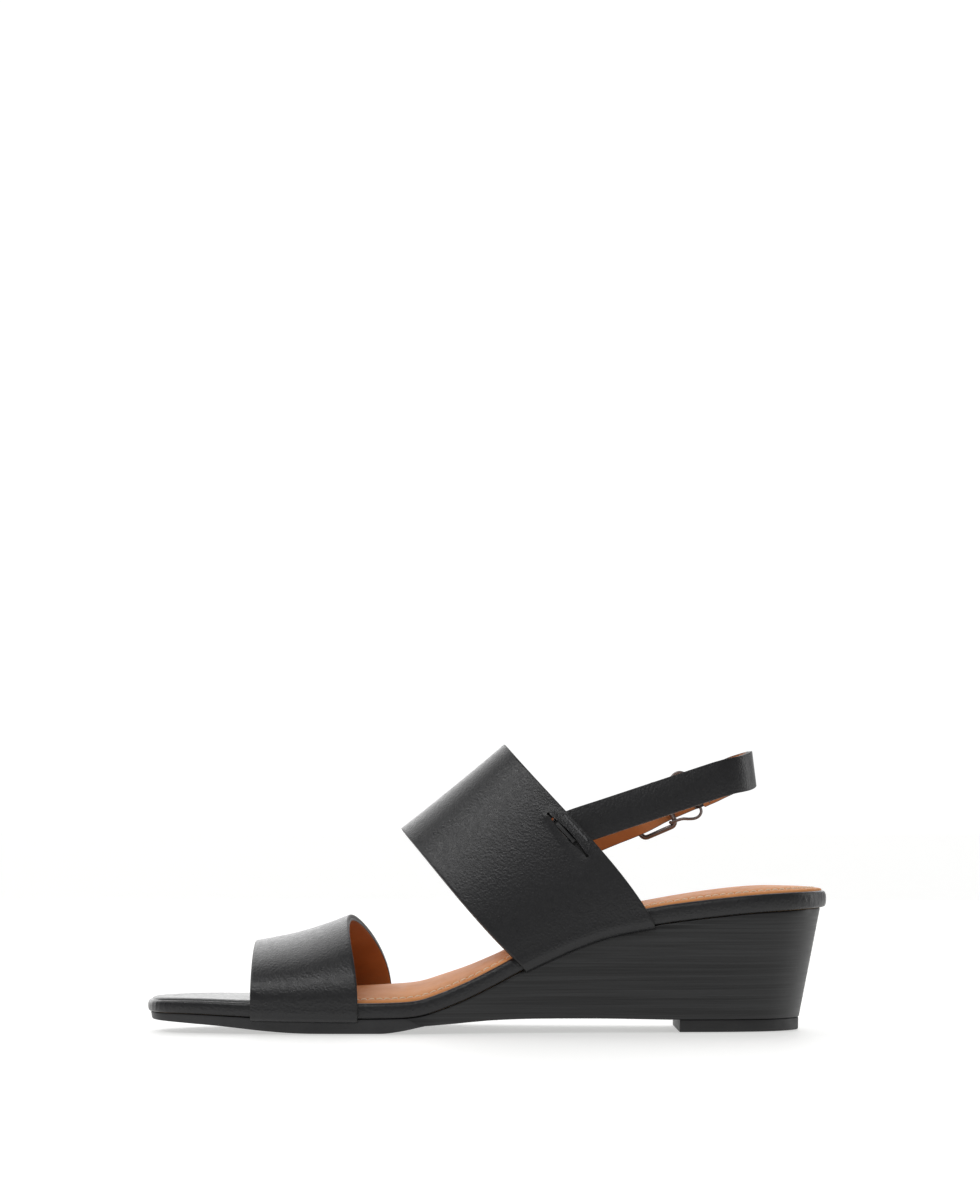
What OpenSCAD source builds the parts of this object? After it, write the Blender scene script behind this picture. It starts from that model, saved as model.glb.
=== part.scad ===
// Low wedge slingback sandal, right foot, as separate pieces.
// Frame: +X to the heel, -X to the toe, +Y to the outer side of the foot, +Z up.
// Z = 0 is the ground. The origin is under the middle of the whole shoe.

/* [Leather] */
// Thickness of the black outer leather
outer_leather = 1.4; // [1.1:0.1:1.6]
// Thickness of the tan lining leather
lining_leather = 1.0; // [0.7:0.1:1.1]
// Width of the sling strap and of the front tab
strap_width = 13; // [11:0.5:13.5]
// Thickness of the sling's outer leather
strap_outer = 1.2; // [0.9:0.1:1.3]
// Thickness of the sling's lining
strap_lining = 0.8; // [0.5:0.1:0.9]

/* [Sole] */
// Thickness of the fibre insole board
board_t = 2.0; // [1.6:0.1:2.4]
// Thickness of the tan sock leather
sock_t = 1.2; // [0.9:0.1:1.4]
// Thickness of the leather wrapped round the footbed edge
rim_t = 1.2; // [0.9:0.1:1.4]
// Height of the wear piece under the heel
lift_h = 4.4; // [3.6:0.1:4.4]
// Extra crown of the padded footbed, as a factor
crown_factor = 1.0; // [0.6:0.05:1.2]

/* [Buckle] */
// Wire diameter of the buckle frame
frame_wire = 1.9; // [1.6:0.1:2.0]
// Wire diameter of the hook
hook_wire = 1.1; // [0.9:0.1:1.2]
// Length of the frame between bar centres
frame_len = 13.7; // [12.8:0.1:14]

/* [Hidden] */
$fn = 48;

black = [0.07, 0.07, 0.075];
tan_leather = [0.72, 0.45, 0.28];
rubber = [0.12, 0.12, 0.125];
steel = [0.55, 0.52, 0.5];

half_len = 123;
glue = 0.12;      // gap left for the glue between sole layers
stations = 76;    // cross-sections along the sole
edge_gap = 0.3;   // gap between the wrapped edge and the layers inside it

// ---------- curves ----------
function seg(p, x, i = 0) = (i >= len(p) - 2 || x < p[i + 1][0]) ? i : seg(p, x, i + 1);
function slope(p, i) = let(a = max(i - 1, 0), b = min(i + 1, len(p) - 1))
    (p[b][1] - p[a][1]) / (p[b][0] - p[a][0]);
// Smooth curve through the points p, at x
function curve(p, x) = let(i = seg(p, x), h = p[i + 1][0] - p[i][0], t = (x - p[i][0]) / h)
    (2 * t^3 - 3 * t^2 + 1) * p[i][1] + (t^3 - 2 * t^2 + t) * h * slope(p, i)
    + (3 * t^2 - 2 * t^3) * p[i + 1][1] + (t^3 - t^2) * h * slope(p, i + 1);
function mix(a, b, t) = a + (b - a) * t;
function unit(v) = v / norm(v);

// ---------- outline of the footbed ----------
// u runs from 0 at the toe to 1 at the heel, and the ends come out round
function x_at(u) = -half_len * cos(180 * u);
function u_at(x) = acos(-x / half_len) / 180;
inner_side = [[0, -8], [0.07, -22], [0.136, -29.5], [0.2, -34.6], [0.26, -38.2], [0.32, -41],
    [0.367, -42], [0.41, -41.2], [0.45, -38.9], [0.5, -35.5], [0.552, -32.6], [0.61, -30.5],
    [0.67, -29.5], [0.73, -28.6], [0.785, -27.2], [0.84, -23.5], [0.89, -17.4], [0.943, -9.2],
    [1, 0]];
outer_side = [[0, -8], [0.07, 6.5], [0.136, 17], [0.2, 25.8], [0.26, 32.8], [0.32, 38.3],
    [0.367, 40.9], [0.41, 41.8], [0.45, 40.8], [0.5, 38], [0.552, 35], [0.61, 32.4],
    [0.67, 30.7], [0.73, 29.2], [0.785, 27.4], [0.84, 23.6], [0.89, 17.4], [0.943, 9.2],
    [1, 0]];
// How far an inset moves along X instead of along Y: only near the round ends
function end_share(u) = pow(abs(cos(180 * u)), 12);
// Edge point of the outline, inset by d; side is -1 for the inner side, 1 for the outer
function edge(u, side, d) = let(e = end_share(u), y = curve(side < 0 ? inner_side : outer_side, u))
    [x_at(u) + (u < 0.5 ? 1 : -1) * d * e, y - side * d * (1 - e)];
// Half-width of the footbed at x, on one side
function half_width(x, side) = side * curve(side < 0 ? inner_side : outer_side, u_at(x));
// Station positions along the whole sole, spread evenly along X towards the middle
all_u = [for (i = [0:stations]) let(t = i / stations) 0.45 * t + 0.55 * acos(1 - 2 * t) / 180];
// The shared stations between two values of u, and the two ends themselves
function between(a, b) = concat([a], [for (u = all_u) if (u > a + 0.003 && u < b - 0.003) u], [b]);

// ---------- heights along the shoe ----------
// Underside of the insole board
seam_points = [[-123, 6.9], [-105, 6.7], [-84, 5.8], [-60, 5.4], [-34, 5.4], [-25, 6.0],
    [-18, 8.0], [-8, 11.9], [1.3, 16.4], [12.3, 22.2], [21.6, 26.6], [29.7, 30.2], [37.9, 33.3],
    [46, 35.6], [60, 38.2], [68, 39.4], [87, 41.6], [102, 42.9], [123, 44.2]];
// Height of the wrapped edge above that
rim_points = [[-123, 4.4], [-84, 5.1], [-30, 5.7], [0, 6.1], [60, 6.5], [100, 6.5], [123, 6]];
// Rise of the padded middle above the edge
crown_points = [[-123, 0.7], [-95, 1.1], [-75, 2.2], [-50, 4.3], [-30, 5.1], [-18, 5.2],
    [-5, 4.3], [10, 3.2], [40, 2.4], [60, 2.2], [80, 2.8], [100, 2.9], [123, 1.6]];
// Underside of the rubber outsole, with its toe spring
outsole_points = [[-123, 4.3], [-110, 3.5], [-97, 2.6], [-88, 1.7], [-80, 0.9], [-71, 0.25],
    [-62, 0], [-38, 0], [-31, 0.8], [-23, 2.5]];
// Underside of the wedge
arch_points = [[-24, 2.5], [-14, 3.2], [-6, 3.9], [2, 4.5], [14, 4.9], [38, 4.9], [56, 4.6],
    [67, lift_h], [123, lift_h]];
function seam(x) = curve(seam_points, x);
function rim_h(x) = curve(rim_points, x);
function crown(x) = curve(crown_points, x) * crown_factor;

// ---------- solids from rings of points ----------
module loft(rings) {
    m = len(rings[0]);
    n = len(rings);
    polyhedron(points = [for (r = rings) each r], faces = [
        for (j = [1:m - 2]) [0, j, j + 1],
        for (i = [0:n - 2], j = [0:m - 1]) let(a = i * m + j, b = i * m + (j + 1) % m)
            each [[a, b + m, b], [a, a + m, b + m]],
        for (j = [1:m - 2]) (n - 1) * m * [1, 1, 1] + [0, j + 1, j]]);
}
// A sheet with thickness: two grids of points that face each other, high on the outside
module sheet(low, high) {
    m = len(low[0]);
    n = len(low);
    k = m * n;
    polyhedron(points = concat([for (r = low) each r], [for (r = high) each r]), faces = [
        for (i = [0:n - 2], j = [0:m - 2]) let(a = i * m + j, b = a + 1, c = b + m, d = a + m)
            each [[a, c, b], [a, d, c], [k + a, k + b, k + c], [k + a, k + c, k + d]],
        for (j = [0:m - 2]) let(a = j, c = (n - 1) * m + j)
            each [[a, k + a + 1, k + a], [a, a + 1, k + a + 1],
                [c, k + c, k + c + 1], [c, k + c + 1, c + 1]],
        for (i = [0:n - 2]) let(a = i * m, c = i * m + m - 1)
            each [[a, k + a + m, a + m], [a, k + a, k + a + m],
                [c, c + m, k + c + m], [c, k + c + m, k + c]]]);
}
// A layer of the sole between two height functions of x
module layer(us, d, low, high) {
    loft([for (u = us) let(a = edge(u, -1, d), b = edge(u, 1, d))
        [[a[0], a[1], low(a[0])], [b[0], b[1], low(b[0])],
         [b[0], b[1], high(b[0])], [a[0], a[1], high(a[0])]]]);
}
// Columns across the padded footbed: distance in from the edge, then shares of the width
function across(u, d) = let(a = edge(u, -1, d), b = edge(u, 1, d), w = b[1] - a[1],
        k = min(1, w / 14), far = mix(3.2 * k, w / 2, 0.45))
    [for (y = [a[1], a[1] + 1.3 * k, a[1] + 3.2 * k, a[1] + far, (a[1] + b[1]) / 2,
        b[1] - far, b[1] - 3.2 * k, b[1] - 1.3 * k, b[1]])
        [mix(a[0], b[0], (y - a[1]) / w), y, 1 - pow(abs(2 * (y - a[1]) / w - 1), 2.6)]];
function pad_z(p, drop) = seam(p[0]) + rim_h(p[0]) - drop
    + crown(p[0]) * p[2] * (1 - pow(abs(p[0] / half_len), 14));
function pad_row(u, d, drop) = [for (p = across(u, d)) [p[0], p[1], pad_z(p, drop)]];
function flat_row(u, d, up) = [for (p = across(u, d)) [p[0], p[1], seam(p[0]) + up]];

// ---------- bands over the foot ----------
band_gap = 0.35;   // between the band's lining and the wrapped edge
margin = 11;       // leather turned under the board
bulge = 1.9;       // roundness of the toe band, 2 = ellipse
// Where the leather runs from under the board, out, and up past the wrapped edge:
// distance outside the footbed edge and height above the seam
function turn_in(h) = let(o = band_gap + lining_leather)
    [[-margin, -glue], [-5, -glue], [-0.5, -glue], [o - 0.5, 0.4], [o, 1.5], [o, h * 0.55 + 0.8]];
arc_steps = 13;
// One side of a loop, from under the board to the crest: [outward share, rise share, offset, height]
function side_path(h, p) = concat([for (q = turn_in(h)) [1, 0, q[0], q[1]]],
    [for (i = [0:arc_steps]) let(f = 90 * i / arc_steps)
        [pow(cos(f), 2 / p), pow(sin(f), 2 / p), band_gap + lining_leather, h]]);
function both_sides(f) = concat([for (q = f(-1)) q], [for (i = [len(f(1)) - 2:-1:0]) f(1)[i]]);

// Toe band: front and rear edges in plan, and the height of its crest
function toe_front(t) = -84.3 + (t > 0 ? 7 * t * t : 0);
function toe_rear(t) = -49.5 + 8.28 * t * t + 5.03 * t;
toe_crest = [[-85, 31.9], [-79, 33], [-68.4, 35.2], [-57.5, 38.6], [-49, 41.7], [-40, 44]];
function toe_side(side, s) = let(xb = mix(toe_front(side), toe_rear(side), s), w = half_width(xb, side),
        xc = mix(toe_front(0), toe_rear(0), s), zc = curve(toe_crest, xc) - outer_leather,
        z0 = seam(xb), h = rim_h(xb) + 0.5)
    [for (q = side_path(h, bulge)) let(y = side * (q[0] * (w + q[2])),
        t = side * min(1, q[0] + (q[3] < 0 ? 1 : 0)), z = z0 + q[3] + q[1] * (zc - z0 - h))
        [mix(toe_front(t), toe_rear(t), s), y, z]];
function toe_loop(s) = both_sides(function(side) toe_side(side, s));

// Instep band: crest and base lines, front to rear
function instep_crest(s) = [mix(-31.9, 5.9, s), mix(72.6, 103.4, s) - 1.4 * s * (1 - s)];
function instep_base(s) = mix(13, 59.6, s);
// A point of the band: side, [outward share, rise share, offset, height], s from front to rear
function instep_point(side, q, s) = let(xb = instep_base(s), w = half_width(xb, side), c = instep_crest(s),
        zc = c[1] - outer_leather * 0.78, xc = c[0] + outer_leather * 0.62, z0 = seam(xb),
        h = rim_h(xb) + 0.3, z = z0 + (q[1] > 0 ? h + q[1] * (zc - z0 - h) : q[3]),
        r = max(0, z - z0) / (zc - z0),
        sway = mix(-1.3, 2.9, s) * 6.75 * r * (1 - r) * (1 - r))
    [xb + (xc - xb) * r + sway, side * q[0] * (w + q[2] + 0.1), z];
function instep_side(side, s) = let(h = rim_h(instep_base(s)) + 0.3)
    [for (q = side_path(h, 2.05)) instep_point(side, q, s)];
function instep_loop(s) = both_sides(function(side) instep_side(side, s));
// The same surface at an angle f up the arch, and its directions there:
// [point, up along the loop, to the rear, outward]
function arch_point(side, f, s) = instep_point(side,
    [pow(cos(f), 2 / 2.05), pow(sin(f), 2 / 2.05), band_gap + lining_leather, 0], s);
function arch_frame(side, f, s) = let(p = arch_point(side, f, s),
        t = unit(arch_point(side, f + 0.5, s) - arch_point(side, f - 0.5, s)),
        g = arch_point(side, f, s + 0.01) - arch_point(side, f, s - 0.01),
        n = unit(cross(g, t)) * -side)
    [p, t, unit(cross(n, t)) * side, n];

// Normals of a grid of points, and the grid moved along them
function grid_normal(g, i, j) = let(
        a = g[min(i + 1, len(g) - 1)][j] - g[max(i - 1, 0)][j],
        b = g[i][min(j + 1, len(g[0]) - 1)] - g[i][max(j - 1, 0)])
    unit(cross(a, b));
function moved(g, d) = [for (i = [0:len(g) - 1])
    [for (j = [0:len(g[0]) - 1]) g[i][j] + d * grid_normal(g, i, j)]];
function trimmed(g, cut) = [for (r = g) [for (j = [cut:len(r) - 1 - cut]) r[j]]];

toe_grid = [for (i = [0:6]) toe_loop(i / 6)];
instep_grid = [for (i = [0:6]) instep_loop(i / 6)];

// ---------- slits and strap ends in the instep band ----------
slit_s = 0.885;      // how far back along the band
slit_len = 22;
slit_w = 3;
strap_gap = 0.8;     // between the strap and the band's lining
strap_up = 3.1;      // the strap sits above the middle of its slit
strap_t = strap_outer + strap_lining;
inner_slit = arch_frame(-1, 27.9, slit_s);
outer_slit = arch_frame(1, 22.1, slit_s);
// Middle of the folded strap end on the band's surface
function end_mid(f) = f[0] + f[1] * strap_up;
// Where the strap starts inside the band: the plane between its two leathers
function start_of(f) = end_mid(f) - f[3] * (lining_leather + strap_gap + strap_outer);
function on_axes(m, o) = [[m[0][0], m[1][0], m[2][0], o[0]],
    [m[0][1], m[1][1], m[2][1], o[1]], [m[0][2], m[1][2], m[2][2], o[2]], [0, 0, 0, 1]];

// ---------- the sling's path round the heel ----------
turn_x = 80.3;
turn_r = 15.6;
function plan_angle(p) = let(d = [turn_x - p[0], p[1]])
    atan2(abs(d[1]), d[0]) - asin(turn_r / norm(d));
p_in = start_of(inner_slit);
p_out = start_of(outer_slit);
ang_in = 90 - plan_angle(p_in);
ang_out = 90 - plan_angle(p_out);
rise = [[-ang_in, 90.1], [-64, 91.4], [-40, 92.5], [0, 94.3], [45, 92.9], [ang_out, 89.4]];
// Directions of a strap: along it, outward, and up across its width
tilt = 0.12;
function strap_axes(d, out) = let(n0 = unit(out - (out * d) * d), b0 = unit(cross(d, n0)),
        b1 = b0[2] < 0 ? -b0 : b0)
    [d, unit(n0 + tilt * b1), unit(b1 - tilt * n0)];
// [point, along, outward, up] at an angle of the turn, running from the outer side to the inner
function turn_at(a) = let(z = curve(rise, a),
        dz = (curve(rise, a - 1) - curve(rise, a + 1)) * 90 / PI / turn_r,
        d = unit([sin(a), -cos(a), dz]))
    concat([[turn_x + turn_r * cos(a), turn_r * sin(a), z]], strap_axes(d, [cos(a), sin(a), 0]));
t_in = turn_at(-ang_in)[0];
t_out = turn_at(ang_out)[0];
axes_out = strap_axes(unit(t_out - p_out), [0, 1, 0]);
axes_in = strap_axes(unit(p_in - t_in), [0, -1, 0]);
run_out = norm(t_out - p_out);
run_in = norm(t_in - p_in);
// Distance s from the outer slit: straight first, then round the turn
function outer_at(s) = s < run_out ? concat([p_out + axes_out[0] * s], axes_out)
    : turn_at(ang_out - (s - run_out) / turn_r * 180 / PI);
function inner_at(s) = concat([t_in + axes_in[0] * s], axes_in);
turn_steps = 36;
plain = concat([for (i = [0:turn_steps]) turn_at(mix(ang_out, -ang_in, i / turn_steps))],
    [for (s = [0.35, 0.7]) inner_at(run_in * s)]);

// ---------- strap leathers as rings of four points ----------
// p: middle, m: direction of the thickness, w: direction of the width, between a and b along m
function ring(p, m, w, half, a, b) =
    [p - w * half + m * a, p + w * half + m * a, p + w * half + m * b, p - w * half + m * b];
function hw() = strap_width / 2;
function reversed(v) = [for (i = [len(v) - 1:-1:0]) v[i]];
// Folded end in a slit, from the outside tip to the start of the strap; s1 is 1 where the
// strap runs away from the slit and -1 where it runs towards it
function strap_end(f, ax, dir) = let(q = end_mid(f), t = f[1], g = f[2], n = f[3], o = strap_outer,
        p = q - n * (lining_leather + strap_gap + o), w1 = unit(t + ax[2]), m1 = unit(g + ax[1]))
    [ring(q + n * (outer_leather + 0.9), g, t, 4.4, -o / 2, o / 2),
     ring(q + n * 0.3, g, t, 5, -o / 2, o / 2),
     ring(q - n * (lining_leather + 0.2), g, t, 5, -o / 2, o / 2),
     ring(p + n * 0.35 - g * 0.35, m1, w1, 5.6, 0, o),
     ring(p + dir * 1.4, ax[1], unit(w1 + ax[2]), 6.1, 0, o),
     ring(p + dir * 4, ax[1], ax[2], hw(), 0, o)];

hook_s = 49.6;                       // middle of the hook's rear bar
rear_s = 38.9;                       // middle of the frame's rear bar
front_s = rear_s - frame_len;
bar_r = frame_wire / 2;
hook_r = hook_wire / 2;
clear = 0.3;
eye = hook_r + 0.1;                  // inside radius of the sling's end loop
flap_end = 55.8;
end_half = strap_width / 2 - 0.4;     // the sling is trimmed a little at its end loop
function off_main(s) =
    curve([[hook_s, eye], [hook_s + 1.4, eye * 0.75], [hook_s + 4, 0.02], [70, 0]], s);
function main_ring(s) = let(f = outer_at(s), o = off_main(s))
    ring(f[0], f[2], f[3], end_half, o, o + strap_outer);
function flap_ring(s) = let(f = outer_at(s), o = off_main(s) + 0.04)
    ring(f[0], -f[2], f[3], end_half, o, o + strap_outer);
function nose_ring(a) = let(f = outer_at(hook_s))
    ring(f[0], f[2] * sin(a) - f[1] * cos(a), f[3], end_half, eye, eye + strap_outer);
sling_outer_rings = concat(
    [for (s = [flap_end, flap_end - 1.6, flap_end - 3.2, hook_s + 1.2]) flap_ring(s)],
    [for (a = [-90:22.5:90]) nose_ring(a)],
    [for (s = [hook_s + 1.2, flap_end - 3.2, flap_end - 1.6, flap_end]) main_ring(s)],
    [for (f = plain) ring(f[0], f[2], f[3], hw(), 0, strap_outer)],
    [for (i = [5:-1:0]) strap_end(inner_slit, axes_in, -axes_in[0])[i]]);
// Gap between the strap's leathers, and how far the lining stands off to pass the folded end
skin = 0.2;
function lining_off(s) = curve([[hook_s, eye + strap_outer + 0.14], [hook_s + 2, strap_outer + 0.5],
    [flap_end - 1.6, strap_outer + 0.2], [flap_end + 0.6, strap_outer + 0.18],
    [flap_end + 4, skin], [90, skin]], s);
function lining_ring(s) = let(f = outer_at(s), o = lining_off(s))
    ring(f[0], -f[2], f[3], hw(), o, o + strap_lining);
function under_ring(p, ax) = ring(p, -ax[1], ax[2], hw(), skin, skin + strap_lining);
sling_lining_rings = concat(
    [for (s = [hook_s + 2, flap_end - 1.6, flap_end + 0.6, flap_end + 1.6, flap_end + 2.8])
        lining_ring(s)],
    [for (i = [1:len(plain) - 1]) let(f = plain[i]) under_ring(f[0], [f[1], f[2], f[3]])],
    [under_ring(p_in - axes_in[0] * 4, axes_in)]);

// ---------- front tab: through the frame, over its rear bar ----------
tab_path = [[4, 0], [9, -0.1], [15.5, -0.6], [21.3, -1.8], [front_s, -bar_r - clear - strap_outer],
    [front_s + 3.5, -1.95], [front_s + 6.7, 0], [front_s + 9.9, 2.3], [rear_s, 3.1],
    [rear_s + 6, 3.1], [rear_s + 17, 3.3]];
function tab_frame(s) = let(y = curve(tab_path, s), d = axes_out[0], n = axes_out[1],
        k = (curve(tab_path, s + 0.1) - curve(tab_path, s - 0.1)) / 0.2)
    [p_out + d * s + n * y, unit(n - k * d)];
function tab_ring(s, half, sgn, t) = let(f = tab_frame(s))
    ring(f[0], sgn * f[1], axes_out[2], half, sgn < 0 ? 0.01 : 0, t);
tab_s = concat([8, 13, 17, 20.5],
    [for (k = [-1.5, 0.5, 2.5, 4.1, 5.7, 7.3, 8.9, 10.7, 12.8, 16, 20.5, 25]) front_s + k]);
tab_tip = [[27.1, 0.94], [28.7, 0.72], [29.7, 0.42], [30.1, 0.15]];
tab_outer_rings = concat(strap_end(outer_slit, axes_out, axes_out[0]),
    [for (s = tab_s) tab_ring(s, hw(), 1, strap_outer)],
    [for (q = tab_tip) tab_ring(front_s + q[0], hw() * q[1], 1, strap_outer)]);
tab_lining_rings = concat(
    [ring(p_out + axes_out[0] * 4, -axes_out[1], axes_out[2], hw(), 0.01, strap_lining)],
    [for (s = tab_s) tab_ring(s, hw(), -1, strap_lining)],
    [for (q = tab_tip) tab_ring(front_s + q[0], hw() * q[1], -1, strap_lining)]);
module at_buckle(s, y = 0)
    multmatrix(on_axes(axes_out, p_out + axes_out[0] * s + axes_out[1] * y)) children();
// A punched slot across both leathers, at distance s and offset y
module punch(s, y, length) at_buckle(s, y) rotate([90, 0, 0]) {
    for (k = [-1, 1]) translate([k * (length / 2 - 1.3), 0, 0]) cylinder(r = 1.3, h = 14, center = true);
    cube([length - 2.6, 2.6, 14], center = true);
}
module punches() {
    punch(rear_s - 3.9, 1.5, 8.4);
    punch(front_s - 7.5, -1, 4.4);
    punch(rear_s + 8.6, 3, 4.4);
}

// ================= sole =================
front_slant = 6.5;   // the wedge's front edge leans back under the board
lean = 0.19;         // forward lean of the wedge's back, per mm of height
function low_x(x, drop) = x + front_slant * max(0, 1 - abs(x + 30) / 14)
    - lean * drop * max(0, min(1, (x - 38) / 60));
function wedge_edge(u, side, a, b) = edge(u, side, u < 0.5 ? a : mix(a, b, end_share(u)));
function wedge_top(u, side) = let(p = wedge_edge(u, side, 0.8, 2.8)) [p[0], p[1], seam(p[0]) - glue];
function wedge_low(u, side) = let(p = wedge_edge(u, side, 1.4, 3.2),
        x = low_x(p[0], seam(p[0]) - lift_h))
    [x, p[1], curve(arch_points, x)];
wedge_u = between(u_at(-30), 0.988);
module wedge_body() loft([for (u = wedge_u)
    [wedge_low(u, -1), wedge_low(u, 1), wedge_top(u, 1), wedge_top(u, -1)]]);
// A prism across the shoe under the seam line, from x0 to x1 and y0 to y1
module under_seam(x0, x1, y0, y1, depth, n = 14) translate([0, y1, 0]) rotate([90, 0, 0])
    linear_extrude(y1 - y0) polygon(concat(
        [for (i = [0:n]) let(x = mix(x0, x1, i / n)) [x, seam(x) - depth]],
        [[x1, seam(x1) + 6], [x0, seam(x1) + 6]]));

rivet_x = [52, 86];
nail_xy = [[74, 16], [74, -16], [98, 13], [98, -13], [108, 0]];
module board_holes() {
    for (x = rivet_x) translate([x, 0, seam(x) - 3]) {
        cylinder(r = 1.5, h = 8);
        translate([0, 0, 3 + board_t - 1.2]) cylinder(r = 2.6, h = 4);
    }
    for (p = nail_xy) translate([p[0], p[1], seam(p[0]) - 3]) {
        cylinder(r = 0.92, h = 8);
        translate([0, 0, 3 + board_t - 0.9]) cylinder(r = 2.1, h = 4);
    }
}

// The outsole's rear face slants with the wedge's front
function slanted(x) = x + front_slant * max(0, 1 + (x + 30) / 14);
module outsole() color(rubber) difference() {
    loft([for (u = between(0.012, u_at(-30))) let(e = 1 + end_share(u), a = edge(u, -1, e),
        b = edge(u, 1, e), xa = slanted(a[0]), xb = slanted(b[0]))
        [[xa, a[1], max(0, curve(outsole_points, xa))],
         [xb, b[1], max(0, curve(outsole_points, xb))],
         [b[0], b[1], seam(b[0]) - glue], [a[0], a[1], seam(a[0]) - glue]]]);
    for (y = [-60, 24]) translate([-86, y, 3.5]) cube([52.5, 36, 9]);
}
module wedge() color(black) difference() {
    wedge_body();
    under_seam(11.5, 61, -60, -16, 1.9);
    under_seam(11.5, 61, 16, 60, 1.9);
    // channel for the shank
    under_seam(0.5, 96.5, -6.9, 6.9, 2, 24);
    for (p = nail_xy) translate([p[0], p[1], seam(p[0]) - 16.2]) cylinder(r = 0.92, h = 20);
}
module heel_top_piece() color(rubber) intersection() {
    linear_extrude(lift_h - glue) polygon(let(us = between(u_at(66), 0.988)) concat(
        [for (u = us) [wedge_low(u, -1)[0], wedge_low(u, -1)[1]]],
        [for (i = [len(us) - 1:-1:0]) [wedge_low(us[i], 1)[0], wedge_low(us[i], 1)[1]]]));
    translate([67.4, -50, -1]) cube([80, 100, 20]);
}
module insole_board() color([0.5, 0.36, 0.22]) difference() {
    layer(between(0.014, 0.986), rim_t + edge_gap,
        function(x) seam(x), function(x) seam(x) + board_t);
    board_holes();
}
module shank() color(steel) difference() {
    loft([for (i = [0:20]) let(x = mix(2, 95, i / 20))
        [[x, -6.5, seam(x) - 1.6], [x, 6.5, seam(x) - 1.6],
         [x, 6.5, seam(x) - 0.2], [x, -6.5, seam(x) - 0.2]]]);
    for (x = rivet_x) translate([x, 0, 0]) cylinder(r = 1.5, h = 60);
}
module shank_rivets() color(steel) for (x = rivet_x) translate([x, 0, seam(x)]) {
    translate([0, 0, -1.4]) cylinder(r = 1.45, h = board_t + 0.9);
    translate([0, 0, board_t - 1.1]) cylinder(r = 2.4, h = 0.6);
}
module heel_nails() color(steel) for (p = nail_xy) translate([p[0], p[1], seam(p[0]) + board_t]) {
    translate([0, 0, -18]) cylinder(r = 0.9, h = 17.5);
    translate([0, 0, -0.85]) cylinder(r = 1.9, h = 0.5);
}
module foam_padding() color([0.9, 0.85, 0.7]) {
    us = between(0.014, 0.986);
    sheet([for (u = us) flat_row(u, rim_t + edge_gap, board_t + glue)],
        [for (u = us) pad_row(u, rim_t + edge_gap, sock_t + glue)]);
}
module top_sheet(us) sheet([for (u = us) pad_row(u, rim_t + edge_gap, sock_t)],
    [for (u = us) pad_row(u, rim_t + edge_gap, 0)]);
module toe_cover() color(black) top_sheet(between(0.014, u_at(-62)));
module sock_lining() color(tan_leather) top_sheet(between(u_at(-61.8), 0.986));
module closed_ring(rings) {
    n = len(rings);
    polyhedron(points = [for (r = rings) each r], faces = [for (i = [0:n - 1], j = [0:3])
        let(k = (j + 1) % 4, next = (i + 1) % n, a = i * 4 + j, b = i * 4 + k, c = next * 4 + k,
            d = next * 4 + j) each [[a, c, b], [a, d, c]]]);
}
module rim_cover() color(black) {
    us = all_u;
    n = len(us);
    closed_ring([for (k = [0:2 * n - 3]) let(side = k < n ? -1 : 1, u = us[k < n ? k : 2 * n - 2 - k],
        p = edge(u, side, 0), q = edge(u, side, rim_t))
        [[q[0], q[1], seam(q[0])], [q[0], q[1], seam(q[0]) + rim_h(q[0])],
         [p[0], p[1], seam(p[0]) + rim_h(p[0])], [p[0], p[1], seam(p[0])]]]);
}
// Height of the padded top at any point of the plan
function pad_top(p) = let(u = u_at(p[0]), d = rim_t + edge_gap, a = edge(u, -1, d)[1],
        b = edge(u, 1, d)[1])
    pad_z([p[0], p[1], 1 - pow(abs(2 * (p[1] - a) / (b - a) - 1), 2.6)], 0);
stitch_in = 4.6;     // distance of the thread from the outside edge
module sock_stitching() color([0.9, 0.84, 0.72]) {
    us = between(u_at(-60), 1);
    n = len(us);
    loft([for (k = [0:2 * n - 2]) let(side = k < n ? -1 : 1, u = us[k < n ? k : 2 * n - 2 - k],
        p = edge(u, side, stitch_in), q = edge(u, side, stitch_in + 0.5), z = pad_top(p) + 0.12, h = 0.35)
        [[p[0], p[1], z], [q[0], q[1], z + 0.05], [q[0], q[1], z + h], [p[0], p[1], z + h]]]);
}

// ================= bands =================
module slit(f) multmatrix(on_axes([f[1], f[2], f[3]], f[0])) {
    cube([slit_len - slit_w, slit_w, 12], center = true);
    for (k = [-1, 1]) translate([k * (slit_len - slit_w) / 2, 0, -6]) cylinder(r = slit_w / 2, h = 12);
}
module toe_band_outer() color(black) sheet(toe_grid, moved(toe_grid, outer_leather));
module toe_band_lining() color(tan_leather)
    sheet(trimmed(moved(toe_grid, -lining_leather), 4), trimmed(toe_grid, 4));
module instep_band_outer() color(black) difference() {
    sheet(instep_grid, moved(instep_grid, outer_leather));
    slit(inner_slit);
    slit(outer_slit);
}
module instep_band_lining() color(tan_leather) difference() {
    sheet(trimmed(moved(instep_grid, -lining_leather), 4), trimmed(instep_grid, 4));
    slit(inner_slit);
    slit(outer_slit);
}
// A row of short stitches between each slit and the band's rear edge
module slot_stitching() color(black) for (f = [inner_slit, outer_slit])
    multmatrix(on_axes([f[1], f[2], f[3]], f[0] + f[3] * (outer_leather + 0.35)))
        for (i = [-2:2]) translate([i * 2.54, 3.9, 0]) cube([2.1, 0.6, 0.4], center = true);

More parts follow.
